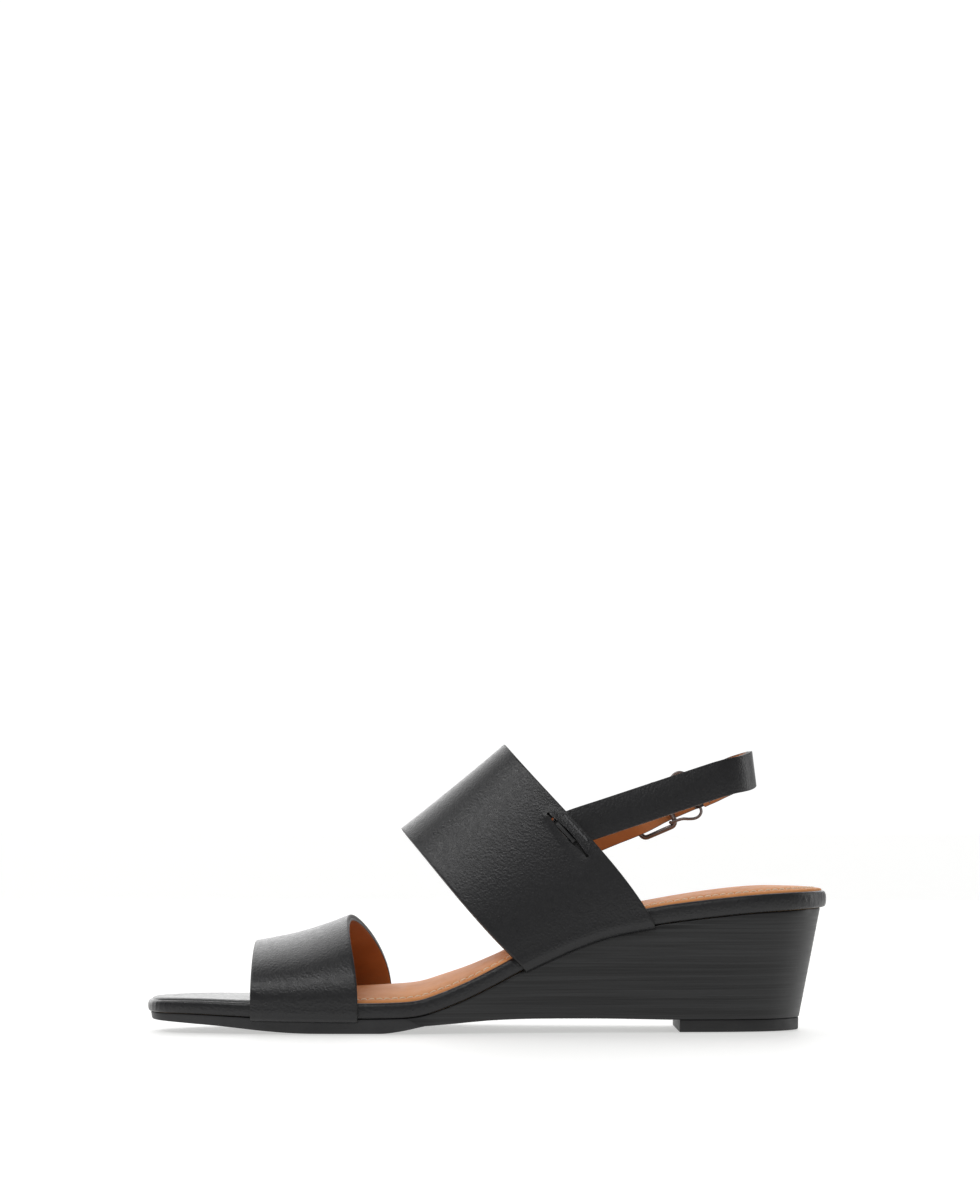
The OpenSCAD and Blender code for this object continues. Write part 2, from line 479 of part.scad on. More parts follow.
// ================= sling =================
module sling_strap_outer() color(black) loft(reversed(sling_outer_rings));
module sling_strap_lining() color(tan_leather) loft(sling_lining_rings);
module sling_end_stitching() color(black) {
    s = flap_end - 1.8;
    f = outer_at(s);
    for (b = [-4.8, -2.4, 0, 2.4, 4.8], y = [off_main(s) + strap_outer + 0.3,
            -lining_off(s) - strap_lining - 0.3])
        multmatrix(on_axes([f[1], f[2], f[3]], f[0])) translate([0, y, b])
            cube([0.5, 0.35, 1.7], center = true);
}
module front_tab_outer() color(black) difference() {
    loft(reversed(tab_outer_rings));
    punches();
}
module front_tab_lining() color(tan_leather) difference() {
    loft(tab_lining_rings);
    punches();
}

// ================= buckle =================
// Local axes at the buckle: x along the strap to the heel, y outward, z across the strap
frame_half = strap_width / 2 + 2.1;    // half-width between the side wires
corner = 1.5;
module bar(r, half) translate([0, 0, -half]) cylinder(r = r, h = 2 * half);
module corner_bend(ax, az, start) translate([ax, 0, az]) rotate([90, 0, 0])
    rotate([0, 0, start]) rotate_extrude(angle = 90) translate([corner, 0]) circle(r = bar_r);
module buckle_frame() color(steel) at_buckle(rear_s) {
    bar(bar_r, frame_half - corner);
    translate([-frame_len, 0, 0]) bar(bar_r, frame_half - corner);
    for (k = [-1, 1]) translate([-frame_len + corner, 0, k * frame_half]) rotate([0, 90, 0])
        cylinder(r = bar_r, h = frame_len - 2 * corner);
    corner_bend(-corner, frame_half - corner, 0);
    corner_bend(-frame_len + corner, frame_half - corner, 90);
    corner_bend(-frame_len + corner, -frame_half + corner, 180);
    corner_bend(-corner, -frame_half + corner, 270);
}
prong_r = 0.7;
prong_eye = bar_r + 0.05;
module buckle_prong() color(steel) at_buckle(rear_s) {
    difference() {
        bar(prong_eye + 0.75, 0.9);
        bar(prong_eye, 2);
    }
    // tongue, from the eye to just past the front bar
    reach = frame_len + 1;
    rise_to = bar_r + clear + prong_r;
    a = atan((rise_to - 1.35) / reach);
    translate([-prong_eye - 0.35, 1.35, 0]) rotate([0, 0, 180 - a]) rotate([0, 90, 0])
        cylinder(r = prong_r, h = reach - prong_eye - 0.35);
    translate([-reach, rise_to, 0]) sphere(r = prong_r);
}
hook_half = end_half + clear + hook_r;
claw_r = bar_r + clear + hook_r;
module rod(a, b, r) translate(a) multmatrix(let(d = unit(b - a), e = unit(cross(d, [0, 0, 1])))
    on_axes([e, cross(d, e), d], [0, 0, 0])) cylinder(r = r, h = norm(b - a));
module buckle_hook() color(steel) at_buckle(rear_s) {
    far = hook_s - rear_s;
    translate([far, 0, 0]) bar(hook_r, hook_half);
    // each arm bows out past the strap's edge on its way from the claw to the rear bar
    for (k = [-1, 1]) translate([0, 0, k * hook_half]) {
        arm = [[0, -claw_r, 0], [far * 0.34, -claw_r + 0.1, k * 0.4], [far * 0.7, -0.6, k * 2.1],
            [far * 0.9, -0.1, k * 1.5], [far, 0, 0]];
        for (i = [0:3]) rod(arm[i], arm[i + 1], hook_r);
        for (q = arm) translate(q) sphere(r = hook_r + 0.04);
        rotate([0, 0, 165]) rotate_extrude(angle = 105) translate([claw_r, 0]) circle(r = hook_r);
        rotate([0, 0, 165]) translate([claw_r, 0, 0]) sphere(r = hook_r + 0.04);
    }
}

outsole();
wedge();
heel_top_piece();
insole_board();
shank();
shank_rivets();
heel_nails();
foam_padding();
rim_cover();
toe_cover();
sock_lining();
sock_stitching();
toe_band_outer();
toe_band_lining();
instep_band_outer();
instep_band_lining();
slot_stitching();
sling_strap_outer();
sling_strap_lining();
sling_end_stitching();
front_tab_outer();
front_tab_lining();
buckle_frame();
buckle_prong();
buckle_hook();
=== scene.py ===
import math
import random

import bmesh
import bpy
import numpy as np
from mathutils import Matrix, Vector


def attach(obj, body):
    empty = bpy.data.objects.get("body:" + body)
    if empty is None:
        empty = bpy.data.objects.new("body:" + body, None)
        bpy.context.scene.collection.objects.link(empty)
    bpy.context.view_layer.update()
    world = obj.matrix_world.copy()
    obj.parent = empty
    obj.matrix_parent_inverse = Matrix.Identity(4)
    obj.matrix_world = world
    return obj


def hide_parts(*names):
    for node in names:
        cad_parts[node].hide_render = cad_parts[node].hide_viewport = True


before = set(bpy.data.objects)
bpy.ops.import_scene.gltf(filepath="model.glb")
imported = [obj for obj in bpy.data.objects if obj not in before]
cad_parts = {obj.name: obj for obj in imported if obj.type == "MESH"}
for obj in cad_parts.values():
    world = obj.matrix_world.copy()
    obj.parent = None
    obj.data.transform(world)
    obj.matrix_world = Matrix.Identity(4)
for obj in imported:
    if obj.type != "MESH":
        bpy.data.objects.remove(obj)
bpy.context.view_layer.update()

random.seed(7)
MM = 0.001

# ---------------------------------------------------------------------------
# The shoe's own lines, in millimetres, the same as the CAD part's
# ---------------------------------------------------------------------------
HALF = 123             # half the sole's length
GLUE = 0.12            # gap for glue between two layers
OUTER_T, LINING_T = 1.4, 1.0      # leather of the bands
STRAP_W, STRAP_T, STRAP_LINING_T = 13, 1.2, 0.8
LIFT = 4.4             # thickness of the wear piece under the heel
JOINT_X = -30          # where the outsole meets the wedge, at the top
JOINT_SLANT = 6.5      # how far that joint leans back at the ground
JOINT_FADE = 14        # length over which the lean fades out
WEDGE_LEAN = 0.19      # slope of the wedge's back, forward for each mm down

# half widths at shares of the length, inner and outer side
INNER_SIDE = [[0, -8], [0.07, -22], [0.136, -29.5], [0.2, -34.6], [0.26, -38.2], [0.32, -41],
              [0.367, -42], [0.41, -41.2], [0.45, -38.9], [0.5, -35.5], [0.552, -32.6],
              [0.61, -30.5], [0.67, -29.5], [0.73, -28.6], [0.785, -27.2], [0.84, -23.5],
              [0.89, -17.4], [0.943, -9.2], [1, 0]]
OUTER_SIDE = [[0, -8], [0.07, 6.5], [0.136, 17], [0.2, 25.8], [0.26, 32.8], [0.32, 38.3],
              [0.367, 40.9], [0.41, 41.8], [0.45, 40.8], [0.5, 38], [0.552, 35], [0.61, 32.4],
              [0.67, 30.7], [0.73, 29.2], [0.785, 27.4], [0.84, 23.6], [0.89, 17.4],
              [0.943, 9.2], [1, 0]]
# heights along the shoe: under the footbed, the rim's own height, the crown of the padding,
# the outsole's underside and the wedge's underside
SEAM = [[-123, 6.9], [-105, 6.7], [-84, 5.8], [-60, 5.4], [-34, 5.4], [-25, 6.0], [-18, 8.0],
        [-8, 11.9], [1.3, 16.4], [12.3, 22.2], [21.6, 26.6], [29.7, 30.2], [37.9, 33.3],
        [46, 35.6], [60, 38.2], [68, 39.4], [87, 41.6], [102, 42.9], [123, 44.2]]
RIM = [[-123, 4.4], [-84, 5.1], [-30, 5.7], [0, 6.1], [60, 6.5], [100, 6.5], [123, 6]]
CROWN = [[-123, 0.7], [-95, 1.1], [-75, 2.2], [-50, 4.3], [-30, 5.1], [-18, 5.2], [-5, 4.3],
         [10, 3.2], [40, 2.4], [60, 2.2], [80, 2.8], [100, 2.9], [123, 1.6]]
OUTSOLE = [[-123, 4.3], [-110, 3.5], [-97, 2.6], [-88, 1.7], [-80, 0.9], [-71, 0.25], [-62, 0],
           [-38, 0], [-31, 0.8], [-23, 2.5]]
ARCH = [[-24, 2.5], [-14, 3.2], [-6, 3.9], [2, 4.5], [14, 4.9], [38, 4.9], [56, 4.6],
        [67, LIFT], [123, LIFT]]


def curve(points, x):
    """Smooth curve through the points, at x."""
    p = np.asarray(points, float)
    n = len(p)
    m = [(p[min(i + 1, n - 1), 1] - p[max(i - 1, 0), 1])
         / (p[min(i + 1, n - 1), 0] - p[max(i - 1, 0), 0]) for i in range(n)]
    m = np.array(m)
    i = np.clip(np.searchsorted(p[:, 0], x, side="right") - 1, 0, n - 2)
    h = p[i + 1, 0] - p[i, 0]
    t = (x - p[i, 0]) / h
    return ((2 * t**3 - 3 * t**2 + 1) * p[i, 1] + (t**3 - 2 * t**2 + t) * h * m[i]
            + (3 * t**2 - 2 * t**3) * p[i + 1, 1] + (t**3 - t**2) * h * m[i + 1])


def mix(a, b, t):
    """The value a share t of the way from a to b."""
    return a + (b - a) * t


def unit(v):
    v = np.asarray(v, float)
    return v / np.linalg.norm(v)


def x_at(u):
    """Place along the shoe of a station u, which runs from 0 at the toe to 1 at the heel."""
    return -HALF * np.cos(np.pi * u)


def u_at(x):
    return np.arccos(np.clip(-x / HALF, -1, 1)) / np.pi


def side_y(u, side):
    """Sideways place of the sole's edge; side is -1 for the inner side, 1 for the outer."""
    return curve(INNER_SIDE if side < 0 else OUTER_SIDE, u)


def seam(x):
    return curve(SEAM, x)


def rim_h(x):
    return curve(RIM, x)


def half_width(x, side):
    return side * side_y(u_at(x), side)


# ---------------------------------------------------------------------------
# Mesh helpers
# ---------------------------------------------------------------------------
def add(name, data):
    """An object in the scene."""
    ob = bpy.data.objects.new(name, data)
    bpy.context.scene.collection.objects.link(ob)
    return ob


def solid(name, verts, faces):
    """A mesh object from millimetre points, with its normals outward."""
    me = bpy.data.meshes.new(name)
    me.from_pydata([tuple(float(c) * MM for c in v) for v in verts], [],
                   [tuple(int(i) for i in f) for f in faces])
    bm = bmesh.new()
    bm.from_mesh(me)
    bmesh.ops.recalc_face_normals(bm, faces=bm.faces)
    bm.to_mesh(me)
    bm.free()
    return add(name, me)


def make(name, verts, faces, mats, mat_ids=None, body="sandal", slot=None, replaces=()):
    """A finished piece, which rides on a body."""
    ob = solid(name, verts, faces)
    for m in mats:
        ob.data.materials.append(m)
    if mat_ids is not None:
        ob.data.polygons.foreach_set("material_index", [int(i) for i in mat_ids])
    ob.data.polygons.foreach_set("use_smooth", [True] * len(faces))
    ob.data.update()
    ob.data.set_sharp_from_angle(angle=math.radians(50))
    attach(ob, body)
    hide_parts(*replaces)
    return ob


def ring_mesh(rings, closed=False):
    """Faces between rings of points, with an end face at each end unless the rings close."""
    n, m = len(rings), len(rings[0])
    verts = [p for r in rings for p in r]
    faces, where = [], []
    for i in range(n if closed else n - 1):
        for j in range(m):
            k, l = (i + 1) % n, (j + 1) % m
            faces.append((i * m + j, i * m + l, k * m + l, k * m + j))
            where.append(j)
    if not closed:
        faces += [tuple(range(m))[::-1], tuple((n - 1) * m + j for j in range(m))]
        where += [-1, -1]
    return verts, faces, where


def spline(points, per):
    """Points along a smooth curve through rows of points, spaced by distance."""
    p = np.asarray(points, float)
    flat = p.reshape(len(p), -1)
    middles = p.reshape(len(p), -1, 3).mean(1)
    step = np.maximum(np.linalg.norm(np.diff(middles, axis=0), axis=1), 1e-3)
    s = np.concatenate([[0], np.cumsum(step)])
    n = max(2, int(s[-1] / per) + 1)
    at = np.linspace(0, s[-1], n)
    out = np.stack([curve(np.stack([s, flat[:, k]], 1), at) for k in range(flat.shape[1])], 1)
    return out.reshape((len(at),) + p.shape[1:])


def round_section(c, r):
    """A ring of four corners with its corners rounded by r."""
    out = []
    for k in range(4):
        a, b, d = c[k - 1], c[k], c[(k + 1) % 4]
        e, f = unit(a - b), unit(d - b)
        q = min(r, 0.45 * np.linalg.norm(a - b), 0.45 * np.linalg.norm(d - b))
        for t in (0, 30, 60, 90):
            t = math.radians(t)
            out.append(b + e * q * (1 - math.sin(t)) + f * q * (1 - math.cos(t)))
    return out


def strap(name, rings, mats, r=0.3, per=1.1, **kw):
    """A strap with rounded, painted cut edges from rings of four corners."""
    fine = spline(rings, per)
    verts, faces, where = ring_mesh([round_section(c, r) for c in fine])
    # section points 3-4, 7-8, 11-12, 15-0: the faces over the width and over the thickness
    ids = [0 if w in (3, 11) else 1 for w in where]
    return make(name, verts, faces, mats, ids, **kw)


def tube(path, r, closed=False, sides=14, flat=1.0, up=(0, 0, 1)):
    """Rings of a round wire along a path; the ends are rounded."""
    p = np.asarray(path, float)
    n = len(p)
    rings = []
    ref = np.asarray(up, float)
    for i in range(n):
        a = p[(i - 1) % n] if closed else p[max(i - 1, 0)]
        b = p[(i + 1) % n] if closed else p[min(i + 1, n - 1)]
        t = unit(b - a)
        e = unit(ref - t * np.dot(ref, t))
        f = np.cross(t, e)
        ref = e
        rings.append([p[i] + r * (math.cos(w) * e + math.sin(w) * f * flat)
                      for w in np.linspace(0, 2 * np.pi, sides, endpoint=False)])
    if not closed:
        first, last = [], []
        for q in (75, 50, 25):
            q = math.radians(q)
            t0, t1 = unit(p[0] - p[1]), unit(p[-1] - p[-2])
            first.append([p[0] + t0 * r * math.sin(q) + (v - p[0]) * math.cos(q)
                          for v in rings[0]])
            last.insert(0, [p[-1] + t1 * r * math.sin(q) + (v - p[-1]) * math.cos(q)
                            for v in rings[-1]])
        rings = first + rings + last
    return rings


def join(parts):
    """Several (verts, faces) lists as one."""
    verts, faces = [], []
    for v, f in parts:
        k = len(verts)
        verts += list(v)
        faces += [tuple(i + k for i in g) for g in f]
    return verts, faces


def bake(ob):
    """The object's modifiers, applied to its mesh."""
    dg = bpy.context.evaluated_depsgraph_get()
    dg.update()
    me = bpy.data.meshes.new_from_object(ob.evaluated_get(dg))
    ob.modifiers.clear()
    ob.data = me
    return ob


# ---------------------------------------------------------------------------
# Materials
# ---------------------------------------------------------------------------
class Mat:
    """A node material round one Principled shader."""

    def __init__(self, name, color, rough, **sockets):
        self.mat = bpy.data.materials.new(name)
        self.mat.use_nodes = True
        self.nt = self.mat.node_tree
        self.bsdf = next(n for n in self.nt.nodes if n.type == "BSDF_PRINCIPLED")
        self.bsdf.inputs["Base Color"].default_value = (*color, 1)
        self.bsdf.inputs["Roughness"].default_value = rough
        for k, v in sockets.items():
            self.bsdf.inputs[k.replace("_", " ")].default_value = v
        self.coord = self.nt.nodes.new("ShaderNodeTexCoord").outputs["Object"]
        self.bump_out = None

    def link(self, a, b):
        self.nt.links.new(a, b)

    def scaled(self, scale, turn=(0, 0, 0)):
        m = self.nt.nodes.new("ShaderNodeMapping")
        m.inputs["Scale"].default_value = scale
        m.inputs["Rotation"].default_value = turn
        self.link(self.coord, m.inputs["Vector"])
        return m.outputs["Vector"]

    def noise(self, scale, detail=3, rough=0.55, vector=None):
        n = self.nt.nodes.new("ShaderNodeTexNoise")
        n.inputs["Scale"].default_value = scale
        n.inputs["Detail"].default_value = detail
        n.inputs["Roughness"].default_value = rough
        self.link(vector or self.coord, n.inputs["Vector"])
        return n.outputs["Fac"]

    def cells(self, scale):
        n = self.nt.nodes.new("ShaderNodeTexVoronoi")
        n.inputs["Scale"].default_value = scale
        self.link(self.coord, n.inputs["Vector"])
        return n.outputs["Distance"]

    def ramp(self, fac, lo, hi, a, b):
        """The range lo to hi of fac, mapped to a to b."""
        r = self.nt.nodes.new("ShaderNodeMapRange")
        for k, v in zip(("From Min", "From Max", "To Min", "To Max"), (lo, hi, a, b)):
            r.inputs[k].default_value = v
        self.link(fac, r.inputs["Value"])
        return r.outputs["Result"]

    def math(self, op, a, b):
        n = self.nt.nodes.new("ShaderNodeMath")
        n.operation = op
        for k, v in enumerate((a, b)):
            if isinstance(v, (int, float)):
                n.inputs[k].default_value = v
            else:
                self.link(v, n.inputs[k])
        return n.outputs[0]

    def blend(self, fac, a, b):
        n = self.nt.nodes.new("ShaderNodeMix")
        n.data_type = "RGBA"
        self.link(fac, n.inputs[0])
        for k, v in ((6, a), (7, b)):
            if isinstance(v, tuple):
                n.inputs[k].default_value = (*v, 1)
            else:
                self.link(v, n.inputs[k])
        return n.outputs[2]

    def color(self, out):
        self.link(out, self.bsdf.inputs["Base Color"])

    def rough(self, out):
        self.link(out, self.bsdf.inputs["Roughness"])

    def bump(self, height, depth_mm):
        """A bump on top of the ones before it."""
        b = self.nt.nodes.new("ShaderNodeBump")
        b.inputs["Distance"].default_value = depth_mm * MM
        self.link(height, b.inputs["Height"])
        if self.bump_out:
            self.link(self.bump_out, b.inputs["Normal"])
        self.bump_out = b.outputs["Normal"]
        self.link(self.bump_out, self.bsdf.inputs["Normal"])


def black_leather():
    dark, light, rough = (0.0065, 0.0065, 0.0075), (0.0125, 0.0125, 0.014), 0.32
    m = Mat("black_leather", dark, rough, Specular_IOR_Level=0.5)
    m.color(m.blend(m.noise(700, 4), dark, light))
    m.rough(m.ramp(m.noise(500, 4), 0.3, 0.7, rough - 0.05, rough + 0.07))
    m.bump(m.noise(30, 2), 0.25)
    m.bump(m.cells(1100), 0.07)
    m.bump(m.noise(2000, 3), 0.08)
    return m.mat


def tan_leather(name, low, high, rough, shine=0.3):
    m = Mat(name, low, rough, Specular_IOR_Level=shine)
    m.color(m.blend(m.ramp(m.noise(55, 5), 0.32, 0.68, 0, 1), low, high))
    m.rough(m.ramp(m.noise(300, 3), 0.3, 0.7, rough - 0.06, rough + 0.08))
    m.bump(m.cells(1100), 0.03)
    m.bump(m.noise(700, 4), 0.04)
    return m.mat


# black paint of the leather's cut edges; the linings' outward faces get it too, as painted shade
# seen through the slits
def edge_and_slit_shade_paint():
    m = Mat("edge_paint_and_slit_shade", (0.01, 0.01, 0.011), 0.5)
    m.color(m.blend(m.noise(900, 3), (0.007, 0.007, 0.008), (0.02, 0.019, 0.019)))
    m.bump(m.noise(1400, 3), 0.05)
    return m.mat


def wedge_stack():
    """Black painted stack: fine streaks along the shoe."""
    m = Mat("wedge_stack", (0.018, 0.018, 0.02), 0.4)
    long = m.scaled((9, 9, 620))
    fine = m.scaled((24, 24, 1900))
    streak = m.noise(1, 4, 0.6, long)
    thin = m.noise(1, 2, 0.5, fine)
    both = m.math("ADD", m.math("MULTIPLY", streak, 0.6), m.math("MULTIPLY", thin, 0.4))
    m.color(m.blend(m.ramp(both, 0.4, 0.66, 0, 1), (0.003, 0.0032, 0.0035),
                    (0.03, 0.0303, 0.0315)))
    m.rough(m.ramp(both, 0.35, 0.65, 0.34, 0.52))
    m.bump(both, 0.06)
    return m.mat


def rubber(name, low, high):
    m = Mat(name, low, 0.55)
    m.color(m.blend(m.noise(130, 4), low, high))
    m.rough(m.ramp(m.noise(260, 3), 0.3, 0.7, 0.46, 0.64))
    m.bump(m.noise(1200, 4), 0.04)
    m.bump(m.noise(40, 2), 0.2)
    return m.mat


def thread(name, low, high):
    m = Mat(name, low, 0.6, Sheen_Weight=0.2)
    m.color(m.blend(m.noise(2400, 3), low, high))
    m.bump(m.noise(4200, 2, vector=m.scaled((1, 1, 1), (0.3, 0.5, 0.6))), 0.05)
    return m.mat


def gunmetal():
    m = Mat("gunmetal", (0.16, 0.14, 0.135), 0.3, Metallic=0.9)
    m.color(m.blend(m.noise(500, 4), (0.12, 0.1, 0.095), (0.24, 0.205, 0.195)))
    m.rough(m.ramp(m.noise(1400, 3), 0.3, 0.7, 0.22, 0.4))
    m.bump(m.noise(3000, 2), 0.01)
    return m.mat


def board_fibre():
    m = Mat("insole_board", (0.2, 0.12, 0.06), 0.8)
    m.color(m.blend(m.noise(700, 5), (0.15, 0.09, 0.045), (0.28, 0.18, 0.1)))
    m.bump(m.noise(1500, 4), 0.1)
    return m.mat


def brushed_steel():
    m = Mat("steel", (0.5, 0.5, 0.5), 0.35, Metallic=1.0)
    m.color(m.blend(m.noise(1, 3, vector=m.scaled((30, 900, 900))), (0.4, 0.4, 0.4),
                    (0.62, 0.62, 0.62)))
    m.bump(m.noise(1, 3, vector=m.scaled((40, 1500, 1500))), 0.02)
    return m.mat


BLACK = black_leather()
EDGE_PAINT_AND_SHADE = edge_and_slit_shade_paint()
TAN = tan_leather("tan_lining", (0.38, 0.138, 0.041), (0.48, 0.19, 0.066), 0.5)
SOCK = tan_leather("sock_leather", (0.67, 0.265, 0.09), (0.8, 0.35, 0.135), 0.55, 0.12)
CREAM = thread("cream_thread", (0.92, 0.64, 0.4), (0.98, 0.78, 0.56))
BLACK_THREAD = thread("black_thread", (0.05, 0.05, 0.053), (0.11, 0.11, 0.115))
WEDGE = wedge_stack()
RUBBER = rubber("outsole_rubber", (0.016, 0.016, 0.017), (0.032, 0.032, 0.034))
HEEL_RUBBER = rubber("heel_rubber", (0.008, 0.008, 0.0085), (0.017, 0.017, 0.018))
METAL = gunmetal()

# ---------------------------------------------------------------------------
# Outline of the sole: one closed loop of points with inward normals
# ---------------------------------------------------------------------------
SIDE_N = 420
shares = np.linspace(0, 1, SIDE_N + 1)
outline = np.array([[x_at(u), side_y(u, -1)] for u in shares]
                   + [[x_at(u), side_y(u, 1)] for u in shares[-2:0:-1]])
along = np.roll(outline, -1, 0) - np.roll(outline, 1, 0)
along /= np.linalg.norm(along, axis=1)[:, None]
inward = np.stack([-along[:, 1], along[:, 0]], 1)


def stations(front=None, rear=None, step=1):
    """Loop indices behind x = rear, or in front of x = front, in order from side to side."""
    n = len(outline)
    if rear is not None:
        ks = [k for k in range(n) if outline[k, 0] > rear]
    else:
        ks = [k - n for k in range(SIDE_N, n) if outline[k, 0] < front]
        ks += [k for k in range(SIDE_N) if outline[k, 0] < front]
    return ks[::step]


def inset(k, d):
    """Outline point k, moved d inward."""
    return outline[k] + inward[k] * d


def pad_top(x, y):
    """Height of the padded top at any point of the plan."""
    x = min(max(x, -HALF + 1.31), HALF - 1.31)
    u = u_at(x)
    e = abs(np.cos(np.pi * u)) ** 12
    a = side_y(u, -1) + 1.5 * (1 - e)
    b = side_y(u, 1) - 1.5 * (1 - e)
    share = 1 - min(1, abs(2 * (y - a) / (b - a) - 1)) ** 2.6
    return (seam(x) + rim_h(x) + curve(CROWN, x) * share * (1 - abs(x / HALF) ** 14))


def top_piece(name, ks, insets, lift, mats, columns=16, **kw):
    """A padded top: strips along the edge at these insets, then columns across."""
    if len(ks) % 2:
        ks = ks[:-1]
    n = len(ks)
    verts, faces = [], []
    for d in insets:
        for k in ks:
            p = inset(k, max(d, 0))
            verts.append((p[0], p[1], pad_top(p[0], p[1]) + lift(d)))
    m = len(insets)
    for i in range(m - 1):
        for j in range(n - 1):
            if i == m - 2 and j == n // 2 - 1:
                continue
            faces.append((i * n + j, i * n + j + 1, (i + 1) * n + j + 1, (i + 1) * n + j))
    base = (m - 1) * n
    grid = []
    for k in range(n // 2):
        a, b = base + k, base + n - 1 - k
        row = [a]
        pa, pb = np.array(verts[a]), np.array(verts[b])
        w = np.linalg.norm(pb[:2] - pa[:2])
        for c in range(1, columns):
            t = c / columns
            t = t - 0.35 * math.sin(2 * math.pi * t) / (2 * math.pi)
            q = pa + (pb - pa) * t
            d = insets[-1] + w / 2 * (1 - abs(2 * t - 1))
            verts.append((q[0], q[1], pad_top(q[0], q[1]) + lift(d)))
            row.append(len(verts) - 1)
        row.append(b)
        grid.append(row)
    for r, s in zip(grid, grid[1:]):
        for c in range(columns):
            faces.append((r[c], r[c + 1], s[c + 1], s[c]))
    # the gap left open in the last strip, where the columns end
    j = (m - 2) * n + n // 2 - 1
    faces.append(tuple([j, j + 1] + grid[-1][::-1]))
    return make(name, verts, faces, mats, **kw)


GROOVE_INSET = 4.6     # of the stitched groove along the edge of the sock


def sock_lift(d):
    """Height of the sock leather's surface above the pad's own line, at inset d."""
    if d < 1.75:
        return mix(-0.5, 0.24, (d - 1.55) / 0.2) if d > 1.55 else -0.5
    edge = 0.24 + 0.22 * min(1, (d - 1.75) / 0.5)
    fade = 1 / (1 + math.exp((d - 11) / 2.2))
    groove = 0.34 * math.exp(-((d - GROOVE_INSET) / 0.5) ** 2)
    return edge * fade - groove + 0.02


SOCK_INSETS = [1.55, 1.62, 1.75, 2.0, 2.35, 2.8, 3.3, 3.7, 4.0, 4.2, 4.4, 4.6, 4.8, 5.0, 5.2, 5.5,
               6.0, 6.8, 8.0, 9.5]
sock = top_piece("sock_lining_leather", stations(rear=-62.5), SOCK_INSETS, sock_lift, [SOCK],
                 columns=30, slot="sock_leather", replaces=["sock_lining", "foam_padding"])


def toe_lift(d):
    """The same for the black leather at the toe, with its line of thread pressed in."""
    if d < 1.75:
        return mix(-0.5, 0.3, (d - 1.55) / 0.2) if d > 1.55 else -0.5
    edge = 0.3 + 0.3 * min(1, (d - 1.75) / 0.6)
    fade = 1 / (1 + math.exp((d - 9) / 2.2))
    return edge * fade - 0.3 * math.exp(-((d - 3.1) / 0.4) ** 2)


TOE_INSETS = [1.55, 1.62, 1.75, 2.0, 2.35, 2.6, 2.85, 3.1, 3.35, 3.6, 4.0, 4.6, 5.6, 7.0, 9.0]
toe_top = top_piece("toe_cover_leather", stations(front=-61.6), TOE_INSETS, toe_lift, [BLACK],
                    columns=26, slot="black_leather", replaces=["toe_cover"])

# Rim: leather rolled round the edge of the footbed, as inset and share of the rim's height
RIM_PROFILE = [(2.6, 0.0), (1.1, 0.0), (0.6, 0.03), (0.25, 0.1), (0.06, 0.22), (0.0, 0.4),
               (0.0, 0.58), (0.08, 0.74), (0.3, 0.87), (0.65, 0.955), (1.1, 0.995), (1.6, 1.0),
               (2.6, 0.99)]
rings = []
for k in range(len(outline)):
    x = outline[k, 0]
    h = rim_h(x)
    ring = []
    for d, t in RIM_PROFILE:
        p = inset(k, d)
        # small pleats where the leather is drawn round the toe and the heel
        ends = max(0.0, (abs(x) - 96) / 27)
        pleat = 0.05 * ends * math.sin(k * 0.9) * math.sin(math.pi * min(1, t)) if d < 1 else 0
        p = p + inward[k] * (0.05 * ends + pleat)
        ring.append((p[0], p[1], seam(min(max(x, -HALF), HALF)) + 0.02 + t * (h - 0.05)))
    rings.append(ring)
v, f, _ = ring_mesh(rings, closed=True)
make("rim_leather", v, f, [BLACK], slot="black_leather", replaces=["rim_cover"])

# Sock stitches: separate short threads in the groove
STITCH_PITCH, STITCH_LEN = 2.75, 2.1
path = np.array([inset(k, GROOVE_INSET) for k in stations(rear=-60)])
seg = np.concatenate([[0], np.cumsum(np.linalg.norm(np.diff(path, axis=0), axis=1))])
parts = []
for i in range(int((seg[-1] - 1) / STITCH_PITCH)):
    pts = []
    for t in (0, 0.12, 0.35, 0.65, 0.88, 1):
        s = 0.6 + i * STITCH_PITCH + t * STITCH_LEN
        x, y = (np.interp(s, seg, path[:, c]) for c in (0, 1))
        arch = 0.36 * (1 - (2 * t - 1) ** 4)
        pts.append((x, y + 0.22 * (t - 0.5), pad_top(x, y) + sock_lift(GROOVE_INSET) - 0.06
                    + arch + random.uniform(-0.02, 0.02)))
    parts.append(ring_mesh(tube(pts, 0.3, sides=8))[:2])
v, f = join(parts)
make("sock_stitches", v, f, [CREAM], slot="cream_thread", replaces=["sock_stitching"])


